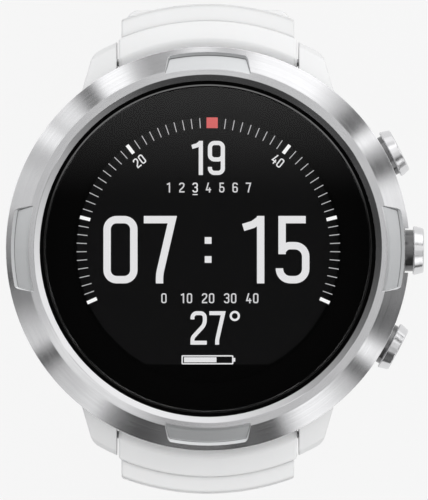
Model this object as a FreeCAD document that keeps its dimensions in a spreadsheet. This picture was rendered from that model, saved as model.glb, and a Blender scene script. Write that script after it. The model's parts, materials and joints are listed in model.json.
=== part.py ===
import FreeCAD, Part
import math
import os
from types import SimpleNamespace

import Sketcher

# Wrist-worn dive computer with three push buttons and a moulded strap, unfastened.
#
# Frame: millimetres, +Z up and out of the glass, +Y towards 12 o'clock, +X towards the
# buttons. The origin is on the case axis, on the ground that the strap stands on.
# Heights in the case are measured from the face of the case back.

# Name, number, what it is. A fourth word names the size that the number is added to.
SIZES = (
    ("case_level", 73.5, "height of the case back above the ground"),
    ("case_height", 12.4, "mid case, up to the seat of the bezel"),
    ("bezel_radius", 26.5, "outer edge of the bezel"),
    ("case_radius", -0.9, "wall of the mid case", "bezel_radius"),
    ("case_edge", 0.9, "slope at the lower edge of the mid case"),
    ("cavity_radius", -6.4, "inside of the mid case", "case_radius"),
    ("ledge_bore_radius", -1.6, "opening of the mid case at the back", "cavity_radius"),
    ("ledge_height", 1.2, "ledge that the back's gasket presses on"),
    ("rim_level", 0.5, "lower rim of the mid case"),
    ("collar_inner_radius", -2.6, "collar that carries the bezel, inside", "bezel_radius"),
    ("collar_outer_radius", -2.0, "collar that carries the bezel, outside", "bezel_radius"),
    ("collar_height", 0.9, "collar that carries the bezel"),
    ("set_gap", 0.05, "gap around parts that are set into each other"),
    ("run_gap", 0.04, "radial gap of parts that turn or slide"),
    ("bezel_height", 4.1, "bezel above the mid case"),
    ("bezel_band", 2.0, "upright band at the bezel's edge"),
    ("bezel_round", 0.4, "slope under the bezel's edge"),
    ("cone_inner_radius", -2.65, "upper edge of the bezel's cone", "bezel_radius"),
    ("flat_inner_radius", -1.05, "inner edge of the bezel's flat ring", "cone_inner_radius"),
    ("bore_radius", -0.77, "bezel around the glass", "flat_inner_radius"),
    ("wall_drop", 0.8, "sloping inner wall of the bezel"),
    ("glass_radius", -0.48, "front glass", "bore_radius"),
    ("glass_seat_radius", -1.85, "inside of the seat under the glass", "glass_radius"),
    ("glass_seat_height", 1.3, "seat under the glass, above the mid case"),
    ("glass_thickness", 2.0, "front glass"),
    ("glass_bevel", 0.35, "bevel around the glass"),
    ("glass_seal_height", 1.5, "gasket around the glass"),
    ("pocket_inner_radius", -0.35, "inner end of a bezel pocket", "cone_inner_radius"),
    ("pocket_foot_radius", -1.2, "outer end of a pocket's floor", "bezel_radius"),
    ("pocket_lip_radius", -0.7, "outer end of a pocket", "bezel_radius"),
    ("pocket_depth", 2.3, "lowest point of a pocket below the top of the bezel"),
    ("pocket_half", 5.0, "half width of a pocket's floor"),
    ("pocket_corner_start", -1.1, "where a pocket's side starts its corner", "pocket_lip_radius"),
    ("pocket_corner_end", -0.42, "where that corner meets the lip, from the axis", "pocket_lip_radius"),
    ("pocket_corner_half", 4.42, "half width where the corner meets the lip"),
    ("pocket_draft_angle", 14.0, "slope of a pocket's side walls, degrees"),
    ("notch_radius", -0.64, "inner end of the notch above the middle button", "bezel_radius"),
    ("notch_half", 2.9, "half width of that notch"),
    ("bezel_seal_radius", 0.6, "gasket under the bezel, inside", "cavity_radius"),
    ("bezel_seal_width", 0.7, "gasket under the bezel"),
    ("bezel_seal_height", 0.58, "gasket under the bezel"),
    ("lug_cut", -4.6, "flat of the mid case between its lugs, from the axis", "case_radius"),
    ("lug_inner", 12.0, "inner face of a lug, from the centre plane"),
    ("lug_reach", 3.26, "end of the lugs, from the axis", "bezel_radius"),
    ("lug_root_x", 17.88, "outer side of a lug where it leaves the case"),
    ("lug_root_y", -13.66, "outer side of a lug where it leaves the case", "lug_reach"),
    ("lug_side_x", 15.43, "outer side of a lug where its corner starts"),
    ("lug_side_y", -5.02, "outer side of a lug where its corner starts", "lug_reach"),
    ("lug_tip_x", 14.38, "where a lug's corner meets its end"),
    ("lug_corner", 2.19, "rounded corner of a lug"),
    ("lug_bottom", 1.2, "underside of the lugs"),
    ("lug_end_foot", 4.0, "lower edge of a lug's end"),
    ("lug_end_top", -3.6, "upper edge of a lug's end", "case_height"),
    ("lug_top", -0.7, "top of the lugs at the bezel's edge", "case_height"),
    ("back_radius", -2.0, "case back", "case_radius"),
    ("back_thickness", 1.6, "case back"),
    ("back_edge", 0.5, "slope around the case back"),
    ("back_seal_radius", 0.7, "gasket of the case back, inside", "ledge_bore_radius"),
    ("back_seal_width", 0.8, "gasket of the case back"),
    ("back_seal_height", 0.55, "gasket of the case back"),
    ("screw_circle", -2.4, "screws of the case back, from the axis", "back_radius"),
    ("screw_radius", 0.8, "screw shank"),
    ("screw_reach", 5.4, "tip of the screws"),
    ("screw_head_radius", 1.45, "screw head"),
    ("screw_head_height", 0.9, "screw head"),
    ("screw_slot", 0.45, "width and depth of the slot in a screw"),
    ("pusher_level", -4.0, "axis of the buttons", "case_height"),
    ("upper_angle", 27.3, "upper button, anticlockwise from +X, degrees"),
    ("middle_angle", -0.5, "middle button, degrees"),
    ("lower_angle", -28.0, "lower button, degrees"),
    ("pusher_travel", 0.7, "stroke of the buttons"),
    ("head_inner", 0.55, "inner face of a button's head, from the case axis", "bezel_radius"),
    ("head_outer", 1.4, "outer face of a button's head", "head_inner"),
    ("head_radius", 3.25, "button head at its inner face"),
    ("head_face_radius", 2.97, "button head at its outer face"),
    ("head_edge", 0.14, "small slopes on a button's head"),
    ("neck_radius", 2.75, "button neck"),
    ("neck_end", -2.65, "inner end of a button's neck", "head_inner"),
    ("stem_radius", 1.2, "button stem"),
    ("stem_end", -1.15, "inner end of a button's stem", "cavity_radius"),
    ("groove_radius", 0.8, "stem inside its grooves"),
    ("tube_tail_start", -0.2, "inner end of a button tube", "cavity_radius"),
    ("clip_start", -0.35, "retaining clip", "tube_tail_start"),
    ("clip_thickness", 0.3, "retaining clip"),
    ("clip_radius", 1.7, "retaining clip"),
    ("clip_mouth", 0.9, "opening of the retaining clip"),
    ("oring_inner", 0.9, "middle of a stem's inner O-ring", "tube_tail_start"),
    ("oring_outer", 1.8, "middle of a stem's outer O-ring", "tube_tail_start"),
    ("oring_cord", 0.2, "radius of a stem O-ring's cord"),
    ("tube_radius", 3.4, "button tube"),
    ("tube_tail_radius", 2.2, "inner end of a button tube"),
    ("tube_shoulder", 2.0, "shoulder of a button tube", "cavity_radius"),
    ("tube_end", 0.15, "outer end of a button tube", "case_radius"),
    ("spring_floor", 0.5, "floor that a button's spring rests on", "tube_shoulder"),
    ("spring_radius", 1.95, "button spring, middle of the wire"),
    ("spring_wire", 0.17, "radius of the button spring's wire"),
    ("spring_turns", 4.0, "turns of a button spring"),
    ("switch_outer", -1.15, "side switch, outer face", "stem_end"),
    ("switch_inner", -3.3, "side switch, inner face", "switch_outer"),
    ("switch_width", 4.4, "side switch"),
    ("plunger_radius", 0.7, "plunger of a side switch"),
    ("plunger_inner", -1.3, "inner end of a plunger", "switch_outer"),
    ("plunger_gap", 0.05, "between a button's stem and its plunger"),
    ("board_level", -3.0, "underside of the main board", "case_height"),
    ("board_thickness", 0.8, "main board"),
    ("frame_radius", -0.3, "display frame", "cavity_radius"),
    ("board_radius", -1.7, "main board", "frame_radius"),
    ("shield_width", 12.0, "shield can"),
    ("shield_height", 1.1, "shield can"),
    ("shield_wall", 0.2, "shield can"),
    ("display_radius", -0.9, "display panel and backlight guide", "frame_radius"),
    ("frame_bore_radius", -5.5, "opening of the display frame", "display_radius"),
    ("frame_floor", 1.3, "floor of the display frame above the board"),
    ("frame_height", 3.0, "display frame"),
    ("guide_thickness", 0.6, "backlight guide"),
    ("panel_thickness", 0.9, "display panel"),
    ("flex_width", 8.0, "display flex"),
    ("flex_thickness", 0.2, "display flex"),
    ("flex_reach", -1.6, "display flex, from the case axis", "board_radius"),
    ("tray_radius", 0.0, "battery tray", "board_radius"),
    ("tray_bottom", 0.6, "underside of the battery tray", "back_thickness"),
    ("tray_floor", 1.0, "floor of the battery tray"),
    ("tray_gap", 0.2, "between the battery tray and the board"),
    ("tray_step_x", -2.8, "where the tray is lowered under the switches", "switch_inner"),
    ("tray_step_level", -1.8, "top of the lowered side of the tray", "pusher_level"),
    ("cell_x", -1.4, "battery cell"),
    ("cell_y", 4.6, "battery cell"),
    ("cell_radius", -5.7, "battery cell", "tray_radius"),
    ("cell_height", -4.2, "battery cell", "board_level"),
    ("cell_cap_radius", -1.2, "battery cell's cap", "cell_radius"),
    ("cell_cap_height", 0.3, "battery cell's cap"),
    ("motor_x", -5.5, "vibration motor"),
    ("motor_reach", -6.2, "vibration motor, from the case axis towards 6 o'clock", "tray_radius"),
    ("motor_radius", 4.0, "vibration motor"),
    ("motor_height", 2.8, "vibration motor"),
    ("motor_wall", 0.3, "vibration motor"),
    ("motor_pin_radius", 0.4, "shaft of the vibration motor"),
    ("weight_radius", 3.3, "motor weight"),
    ("weight_height", 1.6, "motor weight"),
    ("contact_reach", -5.2, "charging contacts, from the case axis", "ledge_bore_radius"),
    ("buzzer_radius", -4.9, "sounder plate", "contact_reach"),
    ("buzzer_thickness", 0.15, "sounder plate"),
    ("crystal_radius", -2.0, "sounder crystal", "buzzer_radius"),
    ("crystal_thickness", 0.2, "sounder crystal"),
    ("contact_spacing", 3.0, "charging contacts"),
    ("contact_radius", 0.7, "charging contacts"),
    ("block_length", 13.0, "insulator around the charging contacts"),
    ("block_width", 3.6, "insulator around the charging contacts"),
    ("block_lip", 0.9, "lip of that insulator inside the case"),
    ("block_lip_height", 0.45, "lip of that insulator inside the case"),
    ("sensor_level", -5.4, "axis of the depth sensor", "case_height"),
    ("sensor_radius", 2.5, "depth sensor"),
    ("sensor_tail_radius", 1.5, "tail of the depth sensor"),
    ("sensor_nose_radius", 1.6, "nose of the depth sensor"),
    ("sensor_tail_start", -0.5, "inner end of the depth sensor", "cavity_radius"),
    ("sensor_shoulder", 2.2, "shoulder of the depth sensor", "cavity_radius"),
    ("sensor_step", 2.0, "where the depth sensor's nose starts", "sensor_shoulder"),
    ("sensor_end", 0.8, "outer end of the depth sensor", "sensor_step"),
    ("sensor_seal_radius", 2.05, "O-ring of the depth sensor, middle of its cord"),
    ("sensor_seal_cord", 0.38, "radius of that O-ring's cord"),
    ("port_start", -1.0, "cover of the sensor port, inner face", "case_radius"),
    ("port_radius", 3.25, "cover of the sensor port"),
    ("port_thickness", 0.7, "cover of the sensor port"),
    ("port_hole_radius", 0.4, "holes of the port cover"),
    ("port_hole_circle", 1.8, "outer holes of the port cover, from its centre"),
    ("pivot_reach", -1.0, "spring bars, from the case axis", "case_radius"),
    ("pivot_level", 6.0, "spring bars above the case back"),
    ("eye_radius", 3.2, "strap around a spring bar, towards the case"),
    ("eye_slant_angle", 30.0, "where the strap's top leaves that round, degrees"),
    ("heel_gap", 0.1, "between the strap's heel and the case"),
    ("heel_foot", 2.4, "lower edge of the heel"),
    ("heel_top", 4.4, "upper edge of the heel"),
    ("bar_radius", 0.9, "spring bar"),
    ("bar_half", 11.1, "half length of the spring bar's tube"),
    ("bar_bore_radius", 0.58, "inside of the spring bar's tube"),
    ("bar_bore_end", -1.8, "blind end of that bore"),
    ("tip_radius", 0.5, "tips of the spring bar"),
    ("tip_reach", 13.3, "end of a tip, from the centre plane"),
    ("tip_hole_depth", 1.8, "spring bar hole in a lug"),
    ("release_travel", 1.4, "stroke of the release pin"),
    ("release_inner", -6.6, "inner end of the release pin"),
    ("lever_x", -7.6, "lever of the release pin"),
    ("lever_radius", 0.4, "lever of the release pin"),
    ("lever_length", 5.2, "lever of the release pin"),
    ("lever_gap", 0.25, "room around the lever"),
    ("bar_spring_radius", 0.38, "spring in a spring bar, middle of the wire"),
    ("bar_spring_wire", 0.1, "radius of that spring's wire"),
    ("bar_spring_turns", 8.0, "turns of that spring"),
    ("strap_half", 11.75, "half width of the strap's head"),
    ("leg_half", 11.4, "half width of the strap below its head"),
    ("tail_half", 10.0, "half width of the strap at the buckle"),
    ("taper_drop", 35.0, "where the strap has its least width, below the case back"),
    ("head_step_level", -2.8, "where the head is stepped in at its sides", "case_height"),
    ("crest_radius", 1.1, "ridge of the strap's head", "bezel_radius"),
    ("crest_level", -1.4, "ridge of the strap's head", "case_height"),
    ("crest_slope", 0.5, "fall of the head from its ridge towards the case"),
    ("step_radius", 2.46, "step of the strap's head", "crest_radius"),
    ("step_top", -2.5, "upper edge of that step", "case_height"),
    ("step_foot", -3.1, "lower edge of that step", "case_height"),
    ("strap_head_radius", 2.3, "end of the strap's head", "step_radius"),
    ("head_edge_level", -3.9, "upper edge of the head's end", "case_height"),
    ("head_round", 0.7, "slope at the head's end"),
    ("head_foot", 4.0, "where the head's end stops"),
    ("head_underside", 7.0, "outer edge of the head's underside"),
    ("leg_reach", -2.36, "outside of the strap under its head", "strap_head_radius"),
    ("leg_top", 5.0, "where the strap leaves its head"),
    ("leg_inner_reach", -3.1, "inside of the strap under its head", "leg_reach"),
    ("leg_inner_drop", 1.0, "top of the strap's inside, below the case back"),
    ("heel_reach", 0.4, "outer edge of the heel's underside", "pivot_reach"),
    ("heel_bottom", 1.2, "outer edge of the heel's underside"),
    ("loop_radius", -6.0, "outside of the strap's bend", "leg_reach"),
    ("loop_flat", 7.5, "half length of the flat that the strap stands on"),
    ("strap_thickness", 2.6, "strap in its bend and its flat"),
    ("tail_end", 7.5, "tip of the long strap half"),
    ("tail_round", 14.0, "rounded tip of the long strap half"),
    ("hole_radius", 1.4, "holes of the long strap half"),
    ("hole_start_angle", 8.0, "first hole, degrees along the bend"),
    ("hole_step_angle", 17.5, "from hole to hole, degrees along the bend"),
    ("hole_pitch", 7.0, "from hole to hole, along the straight"),
    ("buckle_angle", 32.0, "buckle bar, degrees along the bend"),
    ("buckle_start_angle", 4.2, "outer end of the buckle, degrees along the bend"),
    ("buckle_rail_angle", 12.0, "inner side of the buckle's front bar, degrees"),
    ("buckle_bar_radius", 0.75, "buckle bar"),
    ("buckle_thickness", 2.4, "buckle frame"),
    ("buckle_gap", 0.4, "between the strap and the buckle frame's arms"),
    ("buckle_arm", 2.0, "width of the buckle frame's arms"),
    ("tongue_width", 2.2, "buckle tongue"),
    ("tongue_thickness", 1.0, "buckle tongue"),
    ("tongue_eye_radius", 1.25, "tongue around the buckle bar"),
    ("tongue_gap", 0.4, "room beside the tongue"),
    ("keeper_wall", 1.1, "keepers"),
    ("through_angle", 5.0, "how far a cut around the bend runs past the piece it cuts"),
    ("keeper_room", 3.0, "room for the tail inside the keepers"),
    ("keeper_side_gap", 0.3, "between the strap's edges and the keepers"),
    ("keeper_gap", 0.25, "between the strap and the sliding keeper"),
    ("fixed_start_angle", 43.0, "fixed keeper, degrees along the bend"),
    ("fixed_end_angle", 55.0, "fixed keeper, degrees along the bend"),
    ("sliding_start_angle", 57.0, "sliding keeper, degrees along the bend"),
    ("sliding_end_angle", 69.0, "sliding keeper, degrees along the bend"),
)

DOC = FreeCAD.newDocument("DiveComputer")
SHEET = DOC.addObject("Spreadsheet::Sheet", "Sizes")
PIECES = []
X_AXIS = FreeCAD.Vector(1, 0, 0)
Y_AXIS = FreeCAD.Vector(0, 1, 0)
Z_AXIS = FreeCAD.Vector(0, 0, 1)
SHORT_SIDE = 1
LONG_SIDE = -1
BEYOND = 2.0  # how far a cutting tool reaches past what it cuts


# ---------------------------------------------------------------- sizes and formulas
class Size:
    """A number together with the sheet formula that gives it."""

    def __init__(self, formula, number):
        self.formula = formula
        self.number = number

    def __add__(self, other):
        other = as_size(other)
        return Size(f"({self.formula} + {other.formula})", self.number + other.number)

    def __sub__(self, other):
        other = as_size(other)
        return Size(f"({self.formula} - {other.formula})", self.number - other.number)

    def __mul__(self, other):
        other = as_size(other)
        return Size(f"({self.formula} * {other.formula})", self.number * other.number)

    def __truediv__(self, other):
        other = as_size(other)
        return Size(f"({self.formula} / {other.formula})", self.number / other.number)

    def __radd__(self, other):
        return as_size(other) + self

    def __rsub__(self, other):
        return as_size(other) - self

    def __rmul__(self, other):
        return as_size(other) * self

    def __neg__(self):
        return as_size(0) - self


def as_size(value):
    """A plain number, or a Size, as a Size."""
    if isinstance(value, Size):
        return value
    return Size(f"({float(value)})", float(value))


def sine(angle):
    """Sine of an angle in degrees."""
    angle = as_size(angle)
    return Size(f"sin({angle.formula})", math.sin(math.radians(angle.number)))


def cosine(angle):
    """Cosine of an angle in degrees."""
    angle = as_size(angle)
    return Size(f"cos({angle.formula})", math.cos(math.radians(angle.number)))


def tangent_radius(across, along):
    """Radius of an arc that starts along one direction and ends `across` off it."""
    return (across * across + along * along) / (2 * across)


def root(area):
    """Square root."""
    return Size(f"sqrt({area.formula})", math.sqrt(area.number))


def fill_sheet():
    """Write the driving sizes to the sheet and return them by name."""
    known = {}
    for row, (name, number, note, *base) in enumerate(SIZES, start=1):
        alias = f"{name}_offset" if base else name
        SHEET.set(f"A{row}", str(number))
        SHEET.setAlias(f"A{row}", alias)
        SHEET.set(f"B{row}", note)
        size = Size(f"Sizes.{alias}", float(number))
        known[name] = known[base[0]] + size if base else size
    DOC.recompute()
    return SimpleNamespace(**known)


# ---------------------------------------------------------------- building blocks
def bind(thing, prop, value):
    """Set a property from a Size and keep it bound to the sheet."""
    thing.setExpression(prop, as_size(value).formula)


def place(thing, x=0, y=0, z=0, axis=Z_AXIS, angle=0):
    """Give an object a placement whose parts follow the sheet."""
    numbers = [as_size(value).number for value in (x, y, z)]
    turn = as_size(angle)
    thing.Placement = FreeCAD.Placement(
        FreeCAD.Vector(*numbers), FreeCAD.Rotation(axis, turn.number or 1e-3)
    )
    bind(thing, "Placement.Base.x", x)
    bind(thing, "Placement.Base.y", y)
    bind(thing, "Placement.Base.z", z)
    bind(thing, "Placement.Rotation.Angle", turn)
    return thing


def new_sketch(body, plane_role):
    """An empty sketch on one of the body's origin planes."""
    sketch = body.newObject("Sketcher::SketchObject", f"{body.Name}_outline")
    plane = next(f for f in body.Origin.OriginFeatures if f.Role == plane_role)
    sketch.AttachmentSupport = [(plane, "")]
    sketch.MapMode = "FlatFace"
    return sketch


def arc_between(start, end, radius):
    """Arc from start to end, turning left for a positive radius and right for a negative."""
    middle = (start + end) * 0.5
    chord = end - start
    rise = math.sqrt(max(radius * radius - chord.Length * chord.Length / 4, 0.0))
    left = FreeCAD.Vector(-chord.y, chord.x, 0).normalize()
    centre = middle + left * math.copysign(rise, radius)
    first, last = (start, end) if radius > 0 else (end, start)
    angle_a = math.atan2(first.y - centre.y, first.x - centre.x)
    angle_b = math.atan2(last.y - centre.y, last.x - centre.x)
    if angle_b < angle_a:
        angle_b += 2 * math.pi
    circle = Part.Circle(centre, Z_AXIS, abs(radius))
    return Part.ArcOfCircle(circle, angle_a, angle_b)


def draw(sketch, corners):
    """Closed outline. A corner is (across, up), or (across, up, radius) before an arc."""
    corners = [tuple(as_size(value) for value in corner) for corner in corners]
    points = [FreeCAD.Vector(c[0].number, c[1].number, 0) for c in corners]
    ends = []
    for index, corner in enumerate(corners):
        start = points[index]
        end = points[(index + 1) % len(points)]
        if len(corner) == 3:
            sketch.addGeometry(arc_between(start, end, corner[2].number), False)
            ends.append((1, 2) if corner[2].number > 0 else (2, 1))
        else:
            sketch.addGeometry(Part.LineSegment(start, end), False)
            ends.append((1, 2))
    count = len(corners)
    for index in range(count):
        after = (index + 1) % count
        sketch.addConstraint(
            Sketcher.Constraint("Coincident", index, ends[index][1], after, ends[after][0])
        )
    for index, corner in enumerate(corners):
        limits = [("DistanceX", corner[0]), ("DistanceY", corner[1])]
        for kind, value in limits:
            number = sketch.addConstraint(
                Sketcher.Constraint(kind, index, ends[index][0], value.number)
            )
            bind(sketch, f"Constraints[{number}]", value)
        if len(corner) == 3:
            radius = corner[2] if corner[2].number > 0 else -corner[2]
            number = sketch.addConstraint(Sketcher.Constraint("Radius", index, radius.number))
            bind(sketch, f"Constraints[{number}]", radius)


def revolved(label, corners, about="V_Axis"):
    """Solid of revolution from an outline of (radius, height) corners."""
    body = DOC.addObject("PartDesign::Body", label)
    sketch = new_sketch(body, "XZ_Plane")
    draw(sketch, corners)
    turn = body.newObject("PartDesign::Revolution", f"{label}_turn")
    turn.Profile = sketch
    turn.ReferenceAxis = (sketch, [about])
    turn.Angle = 360
    return body


def ring(label, inner, outer, bottom, height):
    """Plain ring around the case axis."""
    top = bottom + height
    return revolved(label, [(inner, bottom), (outer, bottom), (outer, top), (inner, top)])


def disc(label, radius, bottom, height):
    """Plain disc around the case axis."""
    return ring(label, 0, radius, bottom, height)


def padded(label, corners, length, plane="XY_Plane", start=None, taper=0):
    """Outline given a thickness: from `start` upwards, or both ways when start is None."""
    body = DOC.addObject("PartDesign::Body", label)
    sketch = new_sketch(body, plane)
    draw(sketch, corners)
    pad = body.newObject("PartDesign::Pad", f"{label}_pad")
    pad.Profile = sketch
    bind(pad, "Length", length)
    if start is None:
        pad.SideType = "Symmetric"
    else:
        bind(sketch, "AttachmentOffset.Base.z", start)
    if as_size(taper).number:
        bind(pad, "TaperAngle", taper)
    return body


def box(label, x_size, y_size, z_size, x, y, z):
    """Box centred on x and y, standing on z."""
    block = DOC.addObject("Part::Box", label)
    bind(block, "Length", x_size)
    bind(block, "Width", y_size)
    bind(block, "Height", z_size)
    return place(block, x - x_size / 2, y - y_size / 2, z)


def cylinder(label, radius, length, x, y, z, axis=Z_AXIS, angle=0):
    """Cylinder that starts at a point and runs along the turned z axis."""
    rod = DOC.addObject("Part::Cylinder", label)
    bind(rod, "Radius", radius)
    bind(rod, "Height", length)
    return place(rod, x, y, z, axis, angle)


def cylinder_x(label, radius, x_start, x_end, y, z):
    """Cylinder along x."""
    return cylinder(label, radius, x_end - x_start, x_start, y, z, Y_AXIS, 90)


def torus(label, ring_radius, cord_radius, x):
    """Ring with a round cord around the local x axis."""
    loop = DOC.addObject("Part::Torus", label)
    bind(loop, "Radius1", ring_radius)
    bind(loop, "Radius2", cord_radius)
    return place(loop, x, 0, 0, Y_AXIS, 90)


def fused(label, *parts):
    """Several shapes as one."""
    union = DOC.addObject("Part::MultiFuse", label)
    union.Shapes = list(parts)
    return union


def cut(label, base, *tools):
    """A shape without the shapes that cut it."""
    result = DOC.addObject("Part::Cut", label)
    result.Base = base
    result.Tool = tools[0] if len(tools) == 1 else fused(f"{label}_tools", *tools)
    return result


def shared(label, *parts):
    """What all the shapes have in common."""
    result = parts[0]
    for number, part in enumerate(parts[1:], start=1):
        name = label if number == len(parts) - 1 else f"{label}_within_{number}"
        meeting = DOC.addObject("Part::Common", name)
        meeting.Base = result
        meeting.Tool = part
        result = meeting
    return result


def group(label, *parts):
    """Separate solids kept together in one piece."""
    bundle = DOC.addObject("Part::Compound", label)
    bundle.Links = list(parts)
    return bundle


def coil(label, radius, wire, turns, start, length):
    """Helical spring whose axis is the local x axis."""
    body = DOC.addObject("PartDesign::Body", label)
    sketch = new_sketch(body, "XZ_Plane")
    first = start + wire
    sketch.addGeometry(
        Part.Circle(FreeCAD.Vector(first.number, radius.number, 0), Z_AXIS, wire.number), False
    )
    limits = [("DistanceX", (0, 3), first), ("DistanceY", (0, 3), radius), ("Radius", (0,), wire)]
    for kind, where, value in limits:
        number = sketch.addConstraint(Sketcher.Constraint(kind, *where, value.number))
        bind(sketch, f"Constraints[{number}]", value)
    helix = body.newObject("PartDesign::AdditiveHelix", f"{label}_wire")
    helix.Profile = sketch
    helix.ReferenceAxis = (sketch, ["H_Axis"])
    helix.Mode = "pitch-turns-angle"
    bind(helix, "Pitch", (length - 2 * wire) / turns)
    bind(helix, "Turns", turns)
    helix.Angle = 0
    return body


def piece(shape):
    """Register a finished piece. Its label names its file."""
    PIECES.append(shape)
    return shape


def case_piece(shape):
    """Raise a piece of the case to its height above the ground and register it."""
    return piece(place(shape, 0, 0, s.case_level))


def radial_piece(shape, angle, level):
    """Turn a piece that lies along x to its angle around the case and register it."""
    return piece(place(shape, 0, 0, s.case_level + level, Z_AXIS, angle))


# ---------------------------------------------------------------- bezel and glass
def bezel_profile():
    """Outline of the bezel ring: seat, groove for the collar, edge, cone, flat ring, bore."""
    top = s.case_height + s.bezel_height
    seat = s.case_height + s.glass_seat_height
    groove_top = s.case_height + s.collar_height + s.set_gap
    return [
        (s.glass_seat_radius, s.case_height),
        (s.collar_inner_radius - s.set_gap, s.case_height),
        (s.collar_inner_radius - s.set_gap, groove_top),
        (s.collar_outer_radius + s.set_gap, groove_top),
        (s.collar_outer_radius + s.set_gap, s.case_height),
        (s.bezel_radius - s.bezel_round, s.case_height),
        (s.bezel_radius, s.case_height + s.bezel_round),
        (s.bezel_radius, s.case_height + s.bezel_band),
        (s.cone_inner_radius, top),
        (s.flat_inner_radius, top),
        (s.bore_radius, top - s.wall_drop),
        (s.bore_radius, seat),
        (s.glass_seat_radius, seat),
    ]


def pocket_tool(number, angle):
    """One bezel pocket: a floor that slopes outwards, an outer wall and drafted sides."""
    top = s.case_height + s.bezel_height
    floor = top - s.pocket_depth
    cone_fall = (s.bezel_height - s.bezel_band) / (s.bezel_radius - s.cone_inner_radius)
    lip = top - (s.pocket_lip_radius - s.cone_inner_radius) * cone_fall
    profile = [
        (s.pocket_inner_radius, top),
        (s.pocket_foot_radius, floor),
        (s.pocket_lip_radius, lip),
        (s.pocket_lip_radius, top + BEYOND),
        (s.pocket_inner_radius, top + BEYOND),
    ]
    half = s.pocket_half
    turn = tangent_radius(
        half - s.pocket_corner_half, s.pocket_corner_end - s.pocket_corner_start
    )
    outline = [
        (s.pocket_inner_radius - 1, -half),
        (s.pocket_corner_start, -half, turn),
        (s.pocket_corner_end, -s.pocket_corner_half),
        (s.pocket_lip_radius + BEYOND, -half / 2),
        (s.pocket_lip_radius + BEYOND, half / 2),
        (s.pocket_corner_end, s.pocket_corner_half, turn),
        (s.pocket_corner_start, half),
        (s.pocket_inner_radius - 1, half),
    ]
    name = f"bezel_pocket_{number}"
    sweep = revolved(f"{name}_turned", profile)
    walls = padded(
        f"{name}_walls", outline, s.pocket_depth + BEYOND, start=floor, taper=s.pocket_draft_angle
    )
    return place(shared(name, sweep, walls), angle=angle)


def bezel_ring():
    """Bezel with four pockets and the notch above the middle button."""
    blank = revolved("bezel_blank", bezel_profile())
    pockets = [pocket_tool(number, 90 * number) for number in range(4)]
    depth = s.bezel_radius - s.notch_radius + BEYOND
    notch = box(
        "bezel_notch", depth, 2 * s.notch_half, s.bezel_height + BEYOND,
        s.notch_radius + depth / 2, as_size(0), s.case_height - 1,
    )
    notch_turned = place(group("bezel_notch_turned", notch), angle=s.middle_angle)
    return case_piece(cut("bezel_ring", blank, *pockets, notch_turned))


def front_glass():
    """Flat glass with a bevelled edge."""
    seat = s.case_height + s.glass_seat_height
    top = seat + s.glass_thickness
    outline = [
        (0, seat),
        (s.glass_radius, seat),
        (s.glass_radius, top - s.glass_bevel),
        (s.glass_radius - s.glass_bevel, top),
        (0, top),
    ]
    case_piece(revolved("front_glass", outline))


def glass_gasket():
    """Black gasket between the glass and the bezel."""
    seat = s.case_height + s.glass_seat_height
    inner = s.glass_radius + s.set_gap / 2
    outer = s.bore_radius - s.set_gap / 2
    case_piece(ring("glass_gasket", inner, outer, seat, s.glass_seal_height))


def bezel_gasket():
    """Gasket in the top of the mid case, under the bezel."""
    bottom = s.case_height - s.bezel_seal_height
    outer = s.bezel_seal_radius + s.bezel_seal_width
    case_piece(ring("bezel_gasket", s.bezel_seal_radius, outer, bottom, s.bezel_seal_height))


# ---------------------------------------------------------------- mid case
def back_recess():
    """Radius of the recess that the case back sits in."""
    return s.back_radius + 2 * s.set_gap


def case_profile():
    """Outline of the mid case: wall, collar, gasket grooves, cavity and ledge."""
    seal_outer = s.bezel_seal_radius + s.bezel_seal_width + s.set_gap
    seal_foot = s.case_height - s.bezel_seal_height - s.set_gap
    back_seal_outer = s.back_seal_radius + s.back_seal_width + s.set_gap
    back_seal_top = s.back_thickness + s.back_seal_height + s.set_gap
    return [
        (back_recess(), s.rim_level),
        (s.case_radius - s.case_edge, s.rim_level),
        (s.case_radius, s.rim_level + s.case_edge),
        (s.case_radius, s.case_height),
        (s.collar_outer_radius, s.case_height),
        (s.collar_outer_radius, s.case_height + s.collar_height),
        (s.collar_inner_radius, s.case_height + s.collar_height),
        (s.collar_inner_radius, s.case_height),
        (seal_outer, s.case_height),
        (seal_outer, seal_foot),
        (s.bezel_seal_radius - s.set_gap, seal_foot),
        (s.bezel_seal_radius - s.set_gap, s.case_height),
        (s.cavity_radius, s.case_height),
        (s.cavity_radius, s.back_thickness + s.ledge_height),
        (s.ledge_bore_radius, s.back_thickness + s.ledge_height),
        (s.ledge_bore_radius, s.back_thickness),
        (s.back_seal_radius - s.set_gap, s.back_thickness),
        (s.back_seal_radius - s.set_gap, back_seal_top),
        (back_seal_outer, back_seal_top),
        (back_seal_outer, s.back_thickness),
        (back_recess(), s.back_thickness),
    ]


def lug_outline(side_x, side_y):
    """Outline of one lug seen from above. The signs choose the quarter."""
    tip_y = root(s.lug_reach * s.lug_reach - s.lug_tip_x * s.lug_tip_x)
    beyond_y = s.lug_reach + BEYOND
    turn = side_x * side_y
    points = [
        (s.lug_inner, s.lug_root_y),
        (s.lug_root_x, s.lug_root_y),
        (s.lug_side_x, s.lug_side_y, s.lug_corner * turn),
        (s.lug_tip_x, tip_y),
        (s.lug_tip_x, beyond_y),
        (s.lug_inner, beyond_y),
    ]
    return [(side_x * p[0], side_y * p[1]) + p[2:] for p in points]


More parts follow.
